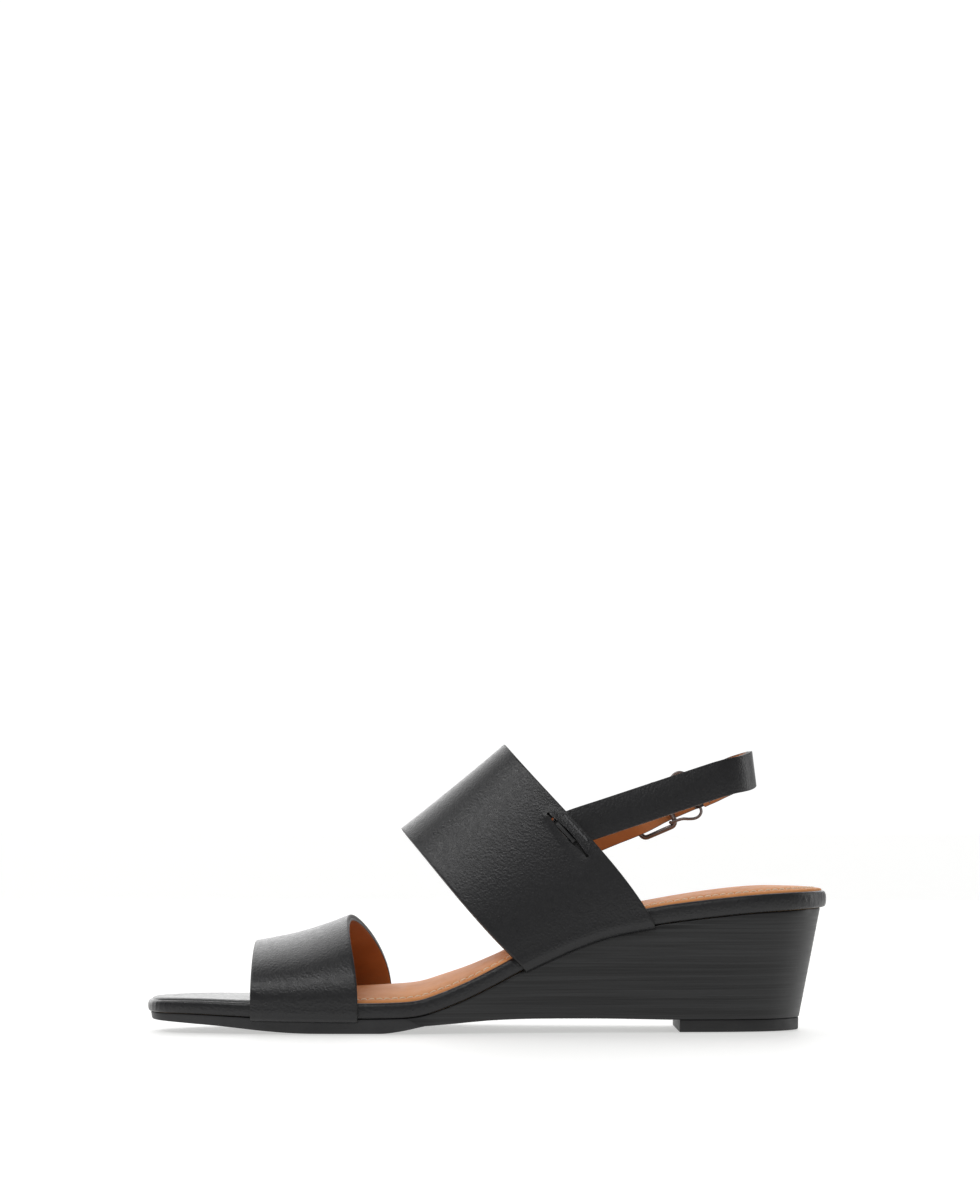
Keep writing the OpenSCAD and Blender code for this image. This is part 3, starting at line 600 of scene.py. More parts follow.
# ---------------------------------------------------------------------------
# Sole: walls between an upper and a lower outline
# ---------------------------------------------------------------------------
def walls(name, tops, lows, ways_in, mats, rows=10, columns=8, soft=0.4, **kw):
    """A closed solid with a wall from each top point to its low point and flat-ish caps.
    ways_in are the inward directions, for edges softened by about soft."""
    n = len(tops)
    verts, faces = [], []
    lines = []
    for k in range(n):
        t, b = np.array(tops[k], float), np.array(lows[k], float)
        q = np.array([*ways_in[k], 0.0])
        h = np.linalg.norm(b - t)
        s = min(soft, h * 0.3)
        d = (b - t) / h
        pts = [t + q * s, t + q * s * 0.3 + d * s * 0.3, t + d * s]
        pts += [t + d * mix(s, h - s, i / rows) for i in range(1, rows)]
        pts += [b - d * s, b + q * s * 0.3 - d * s * 0.3, b + q * s]
        lines.append(pts)
    m = len(lines[0])
    for pts in lines:
        verts += pts
    for k in range(n - 1):
        for i in range(m - 1):
            faces.append((k * m + i, k * m + i + 1, (k + 1) * m + i + 1, (k + 1) * m + i))
    caps = []
    for end in (0, m - 1):
        grid = []
        for k in range(n // 2):
            a, b = k * m + end, (n - 1 - k) * m + end
            row = [a]
            for c in range(1, columns):
                row.append(len(verts))
                verts.append(mix(np.array(verts[a]), np.array(verts[b]), c / columns))
            row.append(b)
            grid.append(row)
        for r, s in zip(grid, grid[1:]):
            for c in range(columns):
                faces.append((r[c], r[c + 1], s[c + 1], s[c]))
        caps.append(grid)
        faces.append(tuple(grid[-1]))
    # the open end between the first and the last line
    a, b = caps[0][0], caps[1][0]
    first = list(range(m))
    final = [(n - 1) * m + i for i in range(m)]
    faces.append(tuple(first + b[1:-1] + final[::-1] + a[1:-1][::-1]))
    return make(name, verts, faces, mats, **kw)


def low_x(x, drop):
    """Place of the wedge's lower edge under x, which is drop lower."""
    return (x + JOINT_SLANT * max(0, 1 - abs(x - JOINT_X) / JOINT_FADE)
            - WEDGE_LEAN * drop * max(0, min(1, (x - 38) / 60)))


def even(ks):
    """The list with an even count."""
    return ks if len(ks) % 2 == 0 else ks[:-1]


ks = even(stations(rear=JOINT_X, step=2))
tops, lows = [], []
for k in ks:
    heel = abs(outline[k, 0] / HALF) ** 12 if outline[k, 0] > 0 else 0
    p, q = inset(k, mix(0.8, 2.2, heel)), inset(k, mix(1.4, 2.6, heel))
    tops.append((p[0], p[1], seam(p[0]) - GLUE))
    x = low_x(q[0], seam(q[0]) - LIFT)
    lows.append((x, q[1], curve(ARCH, x)))
ways_in = [inward[k] for k in ks]
walls("wedge_body", tops, lows, ways_in, [WEDGE], rows=14, columns=8, soft=0.5,
      slot="wedge_stack", replaces=["wedge"])

# wear piece under the heel, a little inside the wedge's lower edge
HEEL_FRONT = 67.4
keep = [(p, d) for p, d in zip(lows, ways_in) if p[0] > HEEL_FRONT]
tops = [(p[0] + 0.15 * d[0], p[1] + 0.15 * d[1], LIFT - GLUE) for p, d in keep]
lows = [(p[0] + 0.12 * d[0], p[1] + 0.12 * d[1], 0) for p, (_, d) in zip(tops, keep)]
walls("heel_top_piece_rubber", tops, lows, [d for _, d in keep], [HEEL_RUBBER], rows=3,
      columns=8, soft=0.3, slot="outsole_rubber", replaces=["heel_top_piece"])

# the outsole reaches a little into the wedge, so that no light shows between them
ks = even(stations(front=JOINT_X + 3.2))
tops, lows = [], []
for k in ks:
    p, q = inset(k, 1.0), inset(k, 1.5)
    x = low_x(p[0], 0)
    tops.append((p[0], p[1], seam(p[0]) - GLUE))
    lows.append((q[0] + x - p[0], q[1], max(0, curve(OUTSOLE, min(x, OUTSOLE[-1][0])))))
walls("outsole_rubber_piece", tops, lows, [inward[k] for k in ks], [RUBBER], rows=5, columns=10,
      soft=0.35, slot="outsole_rubber", replaces=["outsole"])


# ---------------------------------------------------------------------------
# Bands over the foot
# ---------------------------------------------------------------------------
BAND_GAP = 0.35                # between the footbed's rim and a band's lining
MARGIN = 11                    # how far a band is lasted in under the footbed
BULGE, ROUND = 1.9, 2.05       # how full the arches of the toe and instep bands are
INSTEP_X = (13, 59.6)          # front and rear edge of the instep band at the seam
INSTEP_SWAY = (-1.3, 2.9)      # how much those edges bow along the shoe
TOE_CREST = [[-85, 31.9], [-79, 33], [-68.4, 35.2], [-57.5, 38.6], [-49, 41.7], [-40, 44]]


def turn_in(h):
    """The end of a band: in from under the footbed and up its side, as out and up."""
    o = BAND_GAP + LINING_T
    return [[-MARGIN, -GLUE], [-5, -GLUE], [-0.5, -GLUE], [o - 0.5, 0.4], [o, 1.5],
            [o, h * 0.55 + 0.8]]


def side_path(h, p, steps):
    """One side of a band up to its crest: shares of the width and height, then out and up."""
    out = [(1, 0, *q) for q in turn_in(h)]
    for i in range(steps + 1):
        a = math.radians(90 * i / steps)
        out.append((max(math.cos(a), 0) ** (2 / p), math.sin(a) ** (2 / p),
                    BAND_GAP + LINING_T, h))
    return out


def toe_front(t):
    return -84.3 + (7 * t * t if t > 0 else 0)


def toe_rear(t):
    return -49.5 + 8.28 * t * t + 5.03 * t


def toe_side(side, s, steps):
    xb = mix(toe_front(side), toe_rear(side), s)
    w = half_width(xb, side)
    xc = mix(toe_front(0), toe_rear(0), s)
    zc = curve(TOE_CREST, xc) - OUTER_T
    z0, h = seam(xb), rim_h(xb) + 0.5
    out = []
    for q in side_path(h, BULGE, steps):
        t = side * min(1, q[0] + (1 if q[3] < 0 else 0))
        out.append((mix(toe_front(t), toe_rear(t), s), side * q[0] * (w + q[2]),
                    z0 + q[3] + q[1] * (zc - z0 - h)))
    return out


def instep_crest(s):
    """Place along the shoe and height of the instep band's crest, from front to rear edge."""
    return mix(-31.9, 5.9, s), mix(72.6, 103.4, s) - 1.4 * s * (1 - s)


def instep_point(side, q, s):
    xb = mix(*INSTEP_X, s)
    w = half_width(xb, side)
    c = instep_crest(s)
    zc, xc, z0 = c[1] - OUTER_T * 0.78, c[0] + OUTER_T * 0.62, seam(xb)
    h = rim_h(xb) + 0.3
    z = z0 + (h + q[1] * (zc - z0 - h) if q[1] > 0 else q[3])
    r = max(0, z - z0) / (zc - z0)
    sway = mix(*INSTEP_SWAY, s) * 6.75 * r * (1 - r) * (1 - r)
    return (xb + (xc - xb) * r + sway, side * q[0] * (w + q[2] + 0.1), z)


def instep_side(side, s, steps):
    h = rim_h(mix(*INSTEP_X, s)) + 0.3
    return [instep_point(side, q, s) for q in side_path(h, ROUND, steps)]


def band_grid(side_fn, rows, steps):
    """Points of a band's inner face: rows from front to rear, columns over the foot."""
    grid = []
    for i in range(rows + 1):
        s = i / rows
        a, b = side_fn(-1, s, steps), side_fn(1, s, steps)
        grid.append(a + b[-2::-1])
    return np.array(grid)


def resample_columns(grid, count, lo=0.0, hi=1.0):
    """Columns evenly spaced along the loop, from share lo to share hi."""
    mid = grid[len(grid) // 2]
    s = np.concatenate([[0], np.cumsum(np.linalg.norm(np.diff(mid, axis=0), axis=1))])
    at = np.linspace(lo * s[-1], hi * s[-1], count)
    out = []
    for row in grid:
        out.append(np.stack([curve(np.stack([s, row[:, c]], 1), at) for c in range(3)], 1))
    return np.array(out)


def normals(grid):
    a = np.gradient(grid, axis=0)
    b = np.gradient(grid, axis=1)
    n = np.cross(a, b)
    return n / np.linalg.norm(n, axis=2)[:, :, None]


def band(name, grid, lo, hi, mats, r, swell=None, outside=0, **kw):
    """A leather band between offsets lo and hi of its surface, with rounded cut edges.
    swell gives extra height of the outer surface at a point; outside is the material of its
    outward face, which on a lining is the black edge paint as painted shade where a slit shows
    it."""
    n = normals(grid)
    rows, cols = grid.shape[:2]
    g = np.gradient(grid, axis=0)
    g /= np.linalg.norm(g, axis=2)[:, :, None]
    rings = []
    for j in range(cols):
        ring = []
        for off, order, sign in ((hi, range(1, rows - 1), 1), (lo, range(rows - 2, 0, -1), -1)):
            start, end = (0, rows - 1) if sign > 0 else (rows - 1, 0)
            for which, i in (("start", start), ("mid", None), ("end", end)):
                if which == "mid":
                    ring += [grid[k, j] + n[k, j] * (off + (swell(grid[k, j])
                             if swell and sign > 0 else 0)) for k in order]
                    continue
                p, nn = grid[i, j], n[i, j]
                gg = g[i, j] * (1 if i == 0 else -1)
                angles = (45, 90) if which == "start" else (90, 45)
                for a in angles:
                    a = math.radians(a)
                    ring.append(p + nn * (off - sign * r * (1 - math.sin(a)))
                                + gg * r * (1 - math.cos(a)))
                if which == "end":
                    ring.append(p + nn * (off - sign * r))
        rings.append(ring)
    v, f, where = ring_mesh(rings)
    half = rows + 3            # points of one face and one edge in a ring
    ids = []
    for w in where:
        k = w % half if w >= 0 else 0
        face = w >= 0 and 1 <= k <= rows - 1
        ids.append((outside if w < half else 0) if face else 1)
    return make(name, v, f, mats, ids, **kw)


toe = band_grid(toe_side, 30, 26)
band("toe_band_leather", resample_columns(toe, 190), 0, OUTER_T, [BLACK, EDGE_PAINT_AND_SHADE], 0.4,
     slot="black_leather", replaces=["toe_band_outer"])
# the lining's outward face, hidden under the band, gets the black edge paint as painted shade
band("toe_band_lining_leather", resample_columns(toe, 170, 0.09, 0.91), -LINING_T, -0.02,
     [TAN, EDGE_PAINT_AND_SHADE], 0.25, outside=1, slot="tan_lining", replaces=["toe_band_lining"])


def arch_point(side, f, s):
    """A point of the instep band, f degrees up its arch."""
    f = math.radians(f)
    return np.array(instep_point(side, (math.cos(f) ** (2 / ROUND), math.sin(f) ** (2 / ROUND),
                                        BAND_GAP + LINING_T, 0), s))


def arch_frame(side, f, s):
    """A place on the instep band with its directions: up the arch, to the rear, outward."""
    p = arch_point(side, f, s)
    t = unit(arch_point(side, f + 0.5, s) - arch_point(side, f - 0.5, s))
    g = arch_point(side, f, s + 0.01) - arch_point(side, f, s - 0.01)
    n = unit(np.cross(g, t)) * -side
    return p, t, unit(np.cross(n, t)) * side, n


SLIT_S, SLIT_LEN = 0.885, 22          # place across the band, and length
STRAP_GAP, STRAP_UP = 0.8, 3.1        # from the lining, and above the slit's middle
inner_slit = arch_frame(-1, 27.9, SLIT_S)
outer_slit = arch_frame(1, 22.1, SLIT_S)


def slit_lips(p):
    """How much the leather stands up round the slits, where the strap's fold pushes it out."""
    out = 0
    for f in (inner_slit, outer_slit):
        rel = p - f[0]
        along, off = abs(rel @ f[1]), rel @ f[2]
        d = math.hypot(max(0, along - SLIT_LEN / 2 + 2), off)
        if d < 7 and abs(rel @ f[3]) < 6:
            out += 0.75 * math.exp(-(d / 2.1) ** 2)
    return out


ins = resample_columns(band_grid(instep_side, 60, 40), 300)
instep_outer = band("instep_band_leather", ins, 0, OUTER_T, [BLACK, EDGE_PAINT_AND_SHADE], 0.4, swell=slit_lips,
                    slot="black_leather", replaces=["instep_band_outer"])
ins_in = resample_columns(band_grid(instep_side, 46, 40), 230, 0.065, 0.935)
# the lining's outward face gets the black edge paint: painted shade where it shows through the
# ends of the slits
instep_in = band("instep_band_lining_leather", ins_in, -LINING_T, -0.02, [TAN, EDGE_PAINT_AND_SHADE], 0.25,
                 outside=1, slot="tan_lining", replaces=["instep_band_lining"])

# ---------------------------------------------------------------------------
# Sling and tab: the same path as the CAD part
# ---------------------------------------------------------------------------


def end_mid(f):
    """Middle of a strap where it passes a slit."""
    return f[0] + f[1] * STRAP_UP


def start_of(f):
    """Where the strap lies against the lining, behind a slit."""
    return end_mid(f) - f[3] * (LINING_T + STRAP_GAP + STRAP_T)


TURN_X, TURN_R, TILT = 80.3, 15.6, 0.12     # the sling's turn round the heel, and its lean


def plan_angle(p):
    """Direction from p to the turn, in plan, along the tangent."""
    a, b = abs(p[1]), TURN_X - p[0]
    return math.degrees(math.atan2(a, b)) - math.degrees(math.asin(TURN_R / math.hypot(a, b)))


p_in, p_out = start_of(inner_slit), start_of(outer_slit)
ang_in, ang_out = 90 - plan_angle(p_in), 90 - plan_angle(p_out)
RISE = [[-ang_in, 90.1], [-64, 91.4], [-40, 92.5], [0, 94.3], [45, 92.9], [ang_out, 89.4]]


def strap_axes(d, out):
    """Directions along a strap, outward and across it, with its lean."""
    d, out = unit(d), np.asarray(out, float)
    n0 = unit(out - d * np.dot(out, d))
    b0 = unit(np.cross(d, n0))
    b1 = -b0 if b0[2] < 0 else b0
    return d, unit(n0 + TILT * b1), unit(b1 - TILT * n0)


def turn_at(a):
    """The sling at an angle round the heel: its place and directions."""
    z = curve(RISE, a)
    dz = (curve(RISE, a - 1) - curve(RISE, a + 1)) / 2 * 180 / math.pi / TURN_R
    c, s = math.cos(math.radians(a)), math.sin(math.radians(a))
    ax = strap_axes([s, -c, dz], [c, s, 0])
    return (np.array([TURN_X + TURN_R * c, TURN_R * s, z]), *ax)


t_in, t_out = turn_at(-ang_in)[0], turn_at(ang_out)[0]
axes_out = strap_axes(t_out - p_out, [0, 1, 0])
axes_in = strap_axes(p_in - t_in, [0, -1, 0])
run_out, run_in = np.linalg.norm(t_out - p_out), np.linalg.norm(t_in - p_in)


def outer_at(s):
    """The sling's outer run at a distance s from its start, and on round the turn."""
    if s < run_out:
        return (p_out + axes_out[0] * s, *axes_out)
    return turn_at(ang_out - (s - run_out) / TURN_R * 180 / math.pi)


def inner_at(s):
    return (t_in + axes_in[0] * s, *axes_in)


plain = [turn_at(mix(ang_out, -ang_in, i / 20)) for i in range(21)]
plain += [inner_at(run_in * s) for s in (0.35, 0.7)]
HW = STRAP_W / 2


def ring4(p, m, w, half, a, b):
    """Four corners of a strap: half wide along w, from a to b along m."""
    return np.array([p - w * half + m * a, p + w * half + m * a, p + w * half + m * b,
                     p - w * half + m * b])


def strap_end(f, ax, way):
    """Rings of a strap from its folded end outside a slit to its plain run inside."""
    q, t, g, n, o = end_mid(f), f[1], f[2], f[3], STRAP_T
    p = q - n * (LINING_T + STRAP_GAP + o)
    w1, m1 = unit(t + ax[2]), unit(g + ax[1])
    return [ring4(q + n * (OUTER_T + 0.85) - t * 2, g, t, 3.9, -0.55, 0.55),
            ring4(q + n * (OUTER_T + 0.45) - t * 2, g, t, 4.6, -0.95, 0.95),
            ring4(q + n * 0.3 - t * 1.2, g, t, 5, -0.8, 0.8),
            ring4(q - n * (LINING_T + 0.2), g, t, 5, -o / 2, o / 2),
            ring4(p + n * 0.35 - g * 0.35, m1, w1, 5.6, 0, o),
            ring4(p + way * 1.4, ax[1], unit(w1 + ax[2]), 6.1, 0, o),
            ring4(p + way * 4, ax[1], ax[2], HW, 0, o)]


# along the outer run: the hook's bar in the sling's loop, and the frame's rear and front bar
HOOK_S, REAR_S, FRAME_LEN = 49.6, 38.9, 13.7
FRONT_S = REAR_S - FRAME_LEN
BAR_R, HOOK_R, CLEAR = 0.95, 0.55, 0.3
EYE = HOOK_R + 0.1
FLAP_END = 55.8                # where the sling's folded flap ends
END_HALF = STRAP_W / 2 - 0.4


def off_main(s):
    """How far the two layers of the sling's loop part round the hook's bar."""
    return curve([[HOOK_S, EYE], [HOOK_S + 1.4, EYE * 0.75], [HOOK_S + 4, 0.02], [70, 0]], s)


def main_ring(s):
    f = outer_at(s)
    return ring4(f[0], f[2], f[3], END_HALF, off_main(s), off_main(s) + STRAP_T)


def flap_ring(s):
    f = outer_at(s)
    return ring4(f[0], -f[2], f[3], END_HALF, off_main(s) + 0.04, off_main(s) + 0.04 + STRAP_T)


def nose_ring(a):
    f, a = outer_at(HOOK_S), math.radians(a)
    return ring4(f[0], f[2] * math.sin(a) - f[1] * math.cos(a), f[3], END_HALF, EYE,
                 EYE + STRAP_T)


sling_rings = [flap_ring(s) for s in (FLAP_END, FLAP_END - 1.6, FLAP_END - 3.2, HOOK_S + 1.2)]
sling_rings += [nose_ring(a) for a in np.arange(-90, 91, 22.5)]
sling_rings += [main_ring(s) for s in (HOOK_S + 1.2, FLAP_END - 3.2, FLAP_END - 1.6, FLAP_END)]
sling_rings += [ring4(f[0], f[2], f[3], HW, 0, STRAP_T) for f in plain]
sling_rings += strap_end(inner_slit, axes_in, -axes_in[0])[::-1]

SKIN = 0.05                    # between a strap and its lining


def lining_off(s):
    """How far the sling's lining lies inside its own line, over the folded flap."""
    return curve([[HOOK_S, EYE + STRAP_T + 0.14], [HOOK_S + 2, STRAP_T + 0.5],
                  [FLAP_END - 1.6, STRAP_T + 0.14], [FLAP_END + 0.6, STRAP_T + 0.1],
                  [FLAP_END + 4, SKIN], [90, SKIN]], s)


def lining_ring(s):
    f = outer_at(s)
    return ring4(f[0], -f[2], f[3], HW, lining_off(s), lining_off(s) + STRAP_LINING_T)


lining_rings = [lining_ring(s) for s in (HOOK_S + 2, FLAP_END - 1.6, FLAP_END + 0.6,
                                         FLAP_END + 1.6, FLAP_END + 2.8)]
lining_rings += [ring4(f[0], -f[2], f[3], HW, SKIN, SKIN + STRAP_LINING_T) for f in plain[1:]]
lining_rings += [ring4(p_in - axes_in[0] * 4, -axes_in[1], axes_in[2], HW, SKIN,
                       SKIN + STRAP_LINING_T)]

TAB_PATH = [[4, 0], [9, -0.1], [15.5, -0.6], [21.3, -1.8],
            [FRONT_S, -BAR_R - CLEAR - STRAP_T], [FRONT_S + 3.5, -1.95], [FRONT_S + 6.7, 0],
            [FRONT_S + 9.9, 2.3], [REAR_S, 3.1], [REAR_S + 6, 3.1], [REAR_S + 17, 3.3]]


def tab_frame(s):
    """The tab at a distance s: its place and outward direction as it weaves over the frame."""
    y = curve(TAB_PATH, s)
    k = (curve(TAB_PATH, s + 0.1) - curve(TAB_PATH, s - 0.1)) / 0.2
    d, n = axes_out[0], axes_out[1]
    return p_out + d * s + n * y, unit(n - k * d)


def tab_ring(s, half, sign, t):
    f = tab_frame(s)
    return ring4(f[0], sign * f[1], axes_out[2], half, 0, t)


TAB_S = [8, 13, 17, 20.5] + [FRONT_S + k for k in (-1.5, 0.5, 2.5, 4.1, 5.7, 7.3, 8.9,
                                                         10.7, 12.8, 16, 20.5, 25)]
TAB_TIP = [(27.1, 0.94), (28.7, 0.72), (29.7, 0.42), (30.1, 0.15)]
tab_rings = strap_end(outer_slit, axes_out, axes_out[0])
tab_rings += [tab_ring(s, HW, 1, STRAP_T) for s in TAB_S]
tab_rings += [tab_ring(FRONT_S + a, HW * b, 1, STRAP_T) for a, b in TAB_TIP]
tab_lining = [ring4(p_out + axes_out[0] * 4, -axes_out[1], axes_out[2], HW, 0.01,
                    STRAP_LINING_T)]
tab_lining += [tab_ring(s, HW, -1, STRAP_LINING_T) for s in TAB_S]
tab_lining += [tab_ring(FRONT_S + a, HW * b, -1, STRAP_LINING_T) for a, b in TAB_TIP]

strap("sling_strap_leather", sling_rings, [BLACK, EDGE_PAINT_AND_SHADE], r=0.3, per=0.8, body="sling",
      slot="black_leather", replaces=["sling_strap_outer"])
strap("sling_strap_lining_leather", lining_rings, [TAN, EDGE_PAINT_AND_SHADE], r=0.22, per=0.9, body="sling",
      slot="tan_lining", replaces=["sling_strap_lining"])
tab = strap("front_tab_leather", tab_rings, [BLACK, EDGE_PAINT_AND_SHADE], r=0.3, per=0.7, body="front_tab",
            slot="black_leather", replaces=["front_tab_outer"])
tab_in = strap("front_tab_lining_leather", tab_lining, [TAN, EDGE_PAINT_AND_SHADE], r=0.22, per=0.7,
               body="front_tab", slot="tan_lining", replaces=["front_tab_lining"])


def local(x, y, z, s=REAR_S):
    """A point near the buckle: along the strap, outward, across."""
    return p_out + axes_out[0] * (s + x) + axes_out[1] * y + axes_out[2] * z


def cutter(solids):
    """One mesh of several closed solids, each a list of rings of points."""
    return solid("cutter", *join([ring_mesh(r)[:2] for r in solids]))


def slot_outline(length, width, n=10):
    """Points of a long hole with round ends, in its own plane."""
    out = []
    for k in (1, -1):
        for i in range(n + 1):
            a = math.radians(-90 + 180 * i / n)
            out.append((k * ((length - width) / 2 + width / 2 * math.cos(a)),
                        k * width / 2 * math.sin(a)))
    return out


def leaf_outline(length, width, tip, n=28):
    """Points of a cut that opens in its middle and ends in two small round holes."""
    half = []
    for i in range(n + 1):
        x = -length / 2 * math.cos(math.pi * i / n)
        leaf = tip / 2 + (width - tip) / 2 * math.sin(math.pi * (x / length + 0.5)) ** 1.3
        hole = math.sqrt(max(0, 0.6**2 - (length / 2 - 0.6 - abs(x)) ** 2))
        half.append((x, max(leaf * min(1, i, n - i), hole, 0.03)))
    return half + [(x, -y) for x, y in half[::-1]]


def cut(targets, solids):
    """Cuts the solids out of the targets; the walls of a cut get the edge material."""
    c = cutter(solids)
    for p in c.data.polygons:
        p.material_index = 1
    for ob in targets:
        mod = ob.modifiers.new("cut", "BOOLEAN")
        mod.object = c
        mod.operation = "DIFFERENCE"
        mod.solver = "EXACT"
        bake(ob)
        for p in ob.data.polygons:
            p.use_smooth = True
        ob.data.set_sharp_from_angle(angle=math.radians(40))
    me = c.data
    bpy.data.objects.remove(c)
    bpy.data.meshes.remove(me)


def through(f, outline, lo, hi):
    """A solid with this outline in the plane of a slit, between two heights."""
    return [[f[0] + f[3] * off + f[1] * a + f[2] * b for a, b in outline] for off in (lo, hi)]


ROW_BACK, ROW_PITCH, ROW_N = 3.9, 2.54, 5     # the row of stitches behind a slit
NEEDLE_R = 0.42
holes = []
for f in (inner_slit, outer_slit):
    holes.append(through(f, leaf_outline(SLIT_LEN, 2.4, 0.35), -0.5, 6))
    for i in range(ROW_N + 1):
        at = (i - ROW_N / 2) * ROW_PITCH
        ring = [(at + NEEDLE_R * math.cos(a), ROW_BACK + NEEDLE_R * math.sin(a))
                for a in np.linspace(0, 2 * np.pi, 8, endpoint=False)]
        holes.append(through(f, ring, 0.8, 6))
cut([instep_outer], holes)
# the lining's slit is shorter than the outer one, so its black outward face, painted shade, fills
# the slit's ends
cut([instep_in], [[[c + f[1] * STRAP_UP for c in ring]
                   for ring in through(f, leaf_outline(11.5, 2.6, 1.2), -6, 1)]
                  for f in (inner_slit, outer_slit)])
# the tab's slot for the prong and its two spare holes: place, height, length
cut([tab, tab_in], [[[local(a, y + off, b, s) for a, b in slot_outline(length, 2.6, 6)]
                     for off in (-7, 7)]
                    for s, y, length in ((REAR_S - 3.9, 1.5, 8.4), (FRONT_S - 7.5, -1, 4.4),
                                         (REAR_S + 8.6, 3, 4.4))])

# thread behind the slits: a row of short stitches that holds the folded strap end
parts = []
for f in (inner_slit, outer_slit):
    for i in range(ROW_N):
        mid = (i - (ROW_N - 1) / 2) * ROW_PITCH
        mids = []
        for t in (0, 0.12, 0.5, 0.88, 1):
            c = f[0] + f[1] * (mid + (t - 0.5) * 2.3) + f[2] * (ROW_BACK + 0.25 * (t - 0.5))
            mids.append(c + f[3] * (OUTER_T + 0.02 + slit_lips(c)
                                    + 0.34 * (1 - (2 * t - 1) ** 4) - 0.26))
        parts.append(ring_mesh(tube(mids, 0.32, sides=8, up=f[3]))[:2])
v, f = join(parts)
make("slit_stitches", v, f, [BLACK_THREAD], slot="black_thread", replaces=["slot_stitching"])

# thread that closes the sling's loop, on both its faces
SEW_S = FLAP_END - 1.8
parts = []
fr = outer_at(SEW_S)
for b in (-4.8, -2.4, 0, 2.4, 4.8):
    for out in (off_main(SEW_S) + STRAP_T + 0.08, -lining_off(SEW_S) - STRAP_LINING_T - 0.08):
        c = fr[0] + fr[2] * out
        mids = [c + fr[3] * (b + t) for t in (-0.85, -0.3, 0.3, 0.85)]
        parts.append(ring_mesh(tube(mids, 0.22, sides=8, up=fr[2]))[:2])
v, f = join(parts)
make("sling_end_stitches", v, f, [BLACK_THREAD], body="sling", slot="black_thread",
     replaces=["sling_end_stitching"])

# ---------------------------------------------------------------------------
# Buckle
# ---------------------------------------------------------------------------
FRAME_HALF, CORNER = 8.6, 2.1
near, tall = FRAME_LEN - CORNER, FRAME_HALF - CORNER
pts = []
for cx, cz, a0 in ((-CORNER, tall, 0), (-near, tall, 90), (-near, -tall, 180),
                   (-CORNER, -tall, 270)):
    for i in range(9):
        a = math.radians(a0 + 90 * i / 8)
        pts.append((cx + CORNER * math.cos(a), cz + CORNER * math.sin(a)))
full = []
for p, q in zip(pts, pts[1:] + pts[:1]):
    full.append(p)
    steps = int(math.hypot(q[0] - p[0], q[1] - p[1]) / 1.2)
    full += [(mix(p[0], q[0], k / steps), mix(p[1], q[1], k / steps)) for k in range(1, steps)]
v, f, _ = ring_mesh(tube([local(x, 0, z) for x, z in full], BAR_R, closed=True, sides=18,
                         up=axes_out[1]), closed=True)
make("buckle_frame_wire", v, f, [METAL], body="frame", slot="buckle_metal",
     replaces=["buckle_frame"])

# the prong: an eye round the rear bar, and a tongue over the front one
eye = [local(1.42 * math.cos(a), 1.42 * math.sin(a), 0)
       for a in np.linspace(0, 2 * np.pi, 28, endpoint=False)]
eye_mesh = ring_mesh(tube(eye, 0.42, closed=True, sides=12, flat=2.0, up=axes_out[1]),
                     closed=True)[:2]
tongue = [local(x, y, 0) for x, y in ((-1.3, 0.9), (-2.2, 1.3), (-4, 1.42), (-8, 1.6),
                                      (-12, 1.9), (-13.6, 2.0), (-14.5, 1.75))]
tongue_mesh = ring_mesh(tube(spline(tongue, 0.5), 0.68, sides=14, up=axes_out[2]))[:2]
v, f = join([eye_mesh, tongue_mesh])
make("buckle_prong_wire", v, f, [METAL], body="prong", slot="buckle_metal",
     replaces=["buckle_prong"])

HOOK_HALF = END_HALF + CLEAR + HOOK_R
CLAW = BAR_R + CLEAR + HOOK_R
far = HOOK_S - REAR_S
# one arm from its claw to the rear bar: along, outward, and how far it bows out past the strap
arm = [(CLAW * math.cos(math.radians(a)), CLAW * math.sin(math.radians(a)), 0)
       for a in (165, 185, 205, 225, 245, 262)]
arm += [(1.0, -CLAW - 0.05, 0), (far * 0.32, -CLAW + 0.1, 0.4), (far * 0.5, -1.3, 1.35),
        (far * 0.68, -0.6, 2.1), (far * 0.84, -0.2, 2.0), (far * 0.96, 0, 1.1)]
wire = [local(x, y, -HOOK_HALF - z) for x, y, z in arm]
wire += [local(far, 0, z) for z in np.linspace(-HOOK_HALF, HOOK_HALF, 11)]
wire += [local(x, y, HOOK_HALF + z) for x, y, z in arm[::-1]]
v, f, _ = ring_mesh(tube(spline(wire, 0.4), HOOK_R, sides=14, up=axes_out[1]))
make("buckle_hook_wire", v, f, [METAL], body="hook", slot="buckle_metal",
     replaces=["buckle_hook"])

# hidden pieces keep their CAD shape
BOARD, STEEL = board_fibre(), brushed_steel()
for node, mat in (("insole_board", BOARD), ("shank", STEEL), ("shank_rivets", STEEL),
                  ("heel_nails", STEEL)):
    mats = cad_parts[node].data.materials
    mats.clear()
    mats.append(mat)

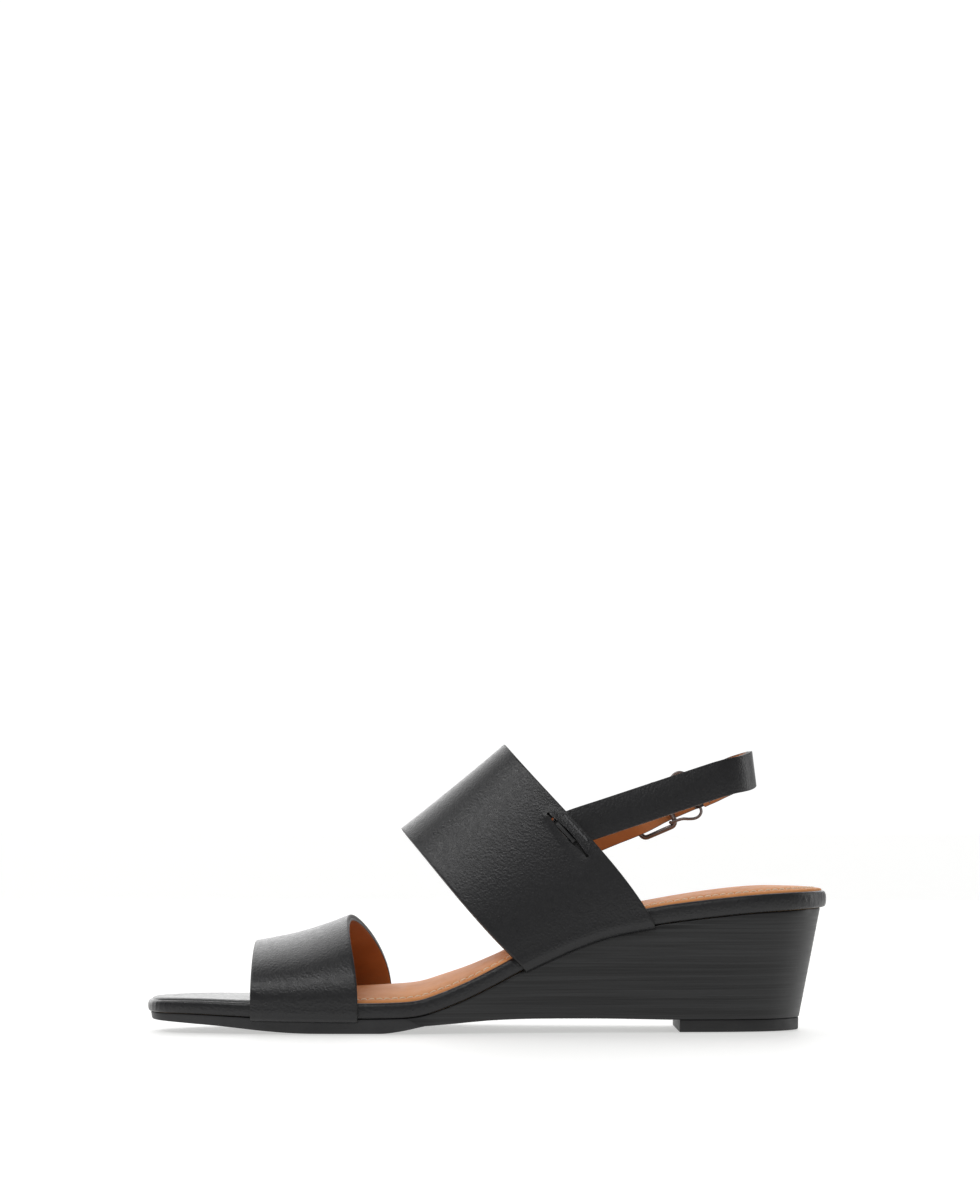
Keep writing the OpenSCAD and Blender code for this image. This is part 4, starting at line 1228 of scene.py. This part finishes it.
# ---------------------------------------------------------------------------
# Floor, light and camera
# ---------------------------------------------------------------------------
floor_mat = Mat("floor", (0.5, 0.5, 0.5), 0.6, Emission_Color=(1, 1, 0.985, 1),
                Emission_Strength=0.5)
floor_mat.color(floor_mat.blend(floor_mat.noise(3, 2), (0.5, 0.5, 0.5), (0.53, 0.53, 0.53)))
me = bpy.data.meshes.new("floor")
me.from_pydata([(-8, -4, 0), (8, -4, 0), (8, 30, 0), (-8, 30, 0)], [], [(0, 1, 2, 3)])
me.materials.append(floor_mat.mat)
floor = add("floor", me)
floor.location.z = -0.2 * MM

world = bpy.data.worlds.new("studio")
bpy.context.scene.world = world
world.use_nodes = True
nt = world.node_tree
bg = next(n for n in nt.nodes if n.type == "BACKGROUND")
bg.inputs["Color"].default_value = (1, 1, 1, 1)
seen = nt.nodes.new("ShaderNodeLightPath").outputs["Is Camera Ray"]
# white behind the shoe, and a dimmer light on it
level = nt.nodes.new("ShaderNodeMapRange")
level.inputs["To Min"].default_value = 0.3
level.inputs["To Max"].default_value = 1.05
nt.links.new(seen, level.inputs["Value"])
nt.links.new(level.outputs["Result"], bg.inputs["Strength"])


def sun(name, turn, angle, strength):
    """A broad even light from one direction."""
    lamp = bpy.data.lights.new(name, "SUN")
    lamp.angle = math.radians(angle)
    lamp.energy = strength
    add(name, lamp).rotation_euler = [math.radians(t) for t in turn]


sun("overhead", (-60, 0, 18), 76, 1.75)


def area(name, at, to, size, watts):
    """A soft box at a place, aimed at a point."""
    lamp = bpy.data.lights.new(name, "AREA")
    lamp.shape = "RECTANGLE"
    lamp.size, lamp.size_y = size
    lamp.energy = watts
    ob = add(name, lamp)
    ob.location = at
    ob.rotation_mode = "QUATERNION"
    ob.rotation_quaternion = (Vector(to) - Vector(at)).to_track_quat("-Z", "Y")
    ob.visible_camera = False


area("front_card", (-0.45, -0.5, 0.9), (0, 0, 0.05), (1.6, 0.12), 4.4)
area("rear_strip", (1.0, 0.35, 0.35), (0, 0, 0.05), (0.25, 0.7), 1.3)
area("backdrop", (0, 2.2, 0.9), (0, 0, 0.1), (4, 1.6), 10)

cam = bpy.data.cameras.new("camera")
cam.sensor_width = 36
cam.lens = 124.2
cam.dof.use_dof = False
cam_ob = add("camera", cam)
cam_ob.location = (0.0006, -1.5, 0.0743)
cam_ob.rotation_euler = (math.radians(90 + 3.19), 0, 0)
bpy.context.scene.camera = cam_ob
bpy.context.scene.view_settings.view_transform = "Standard"
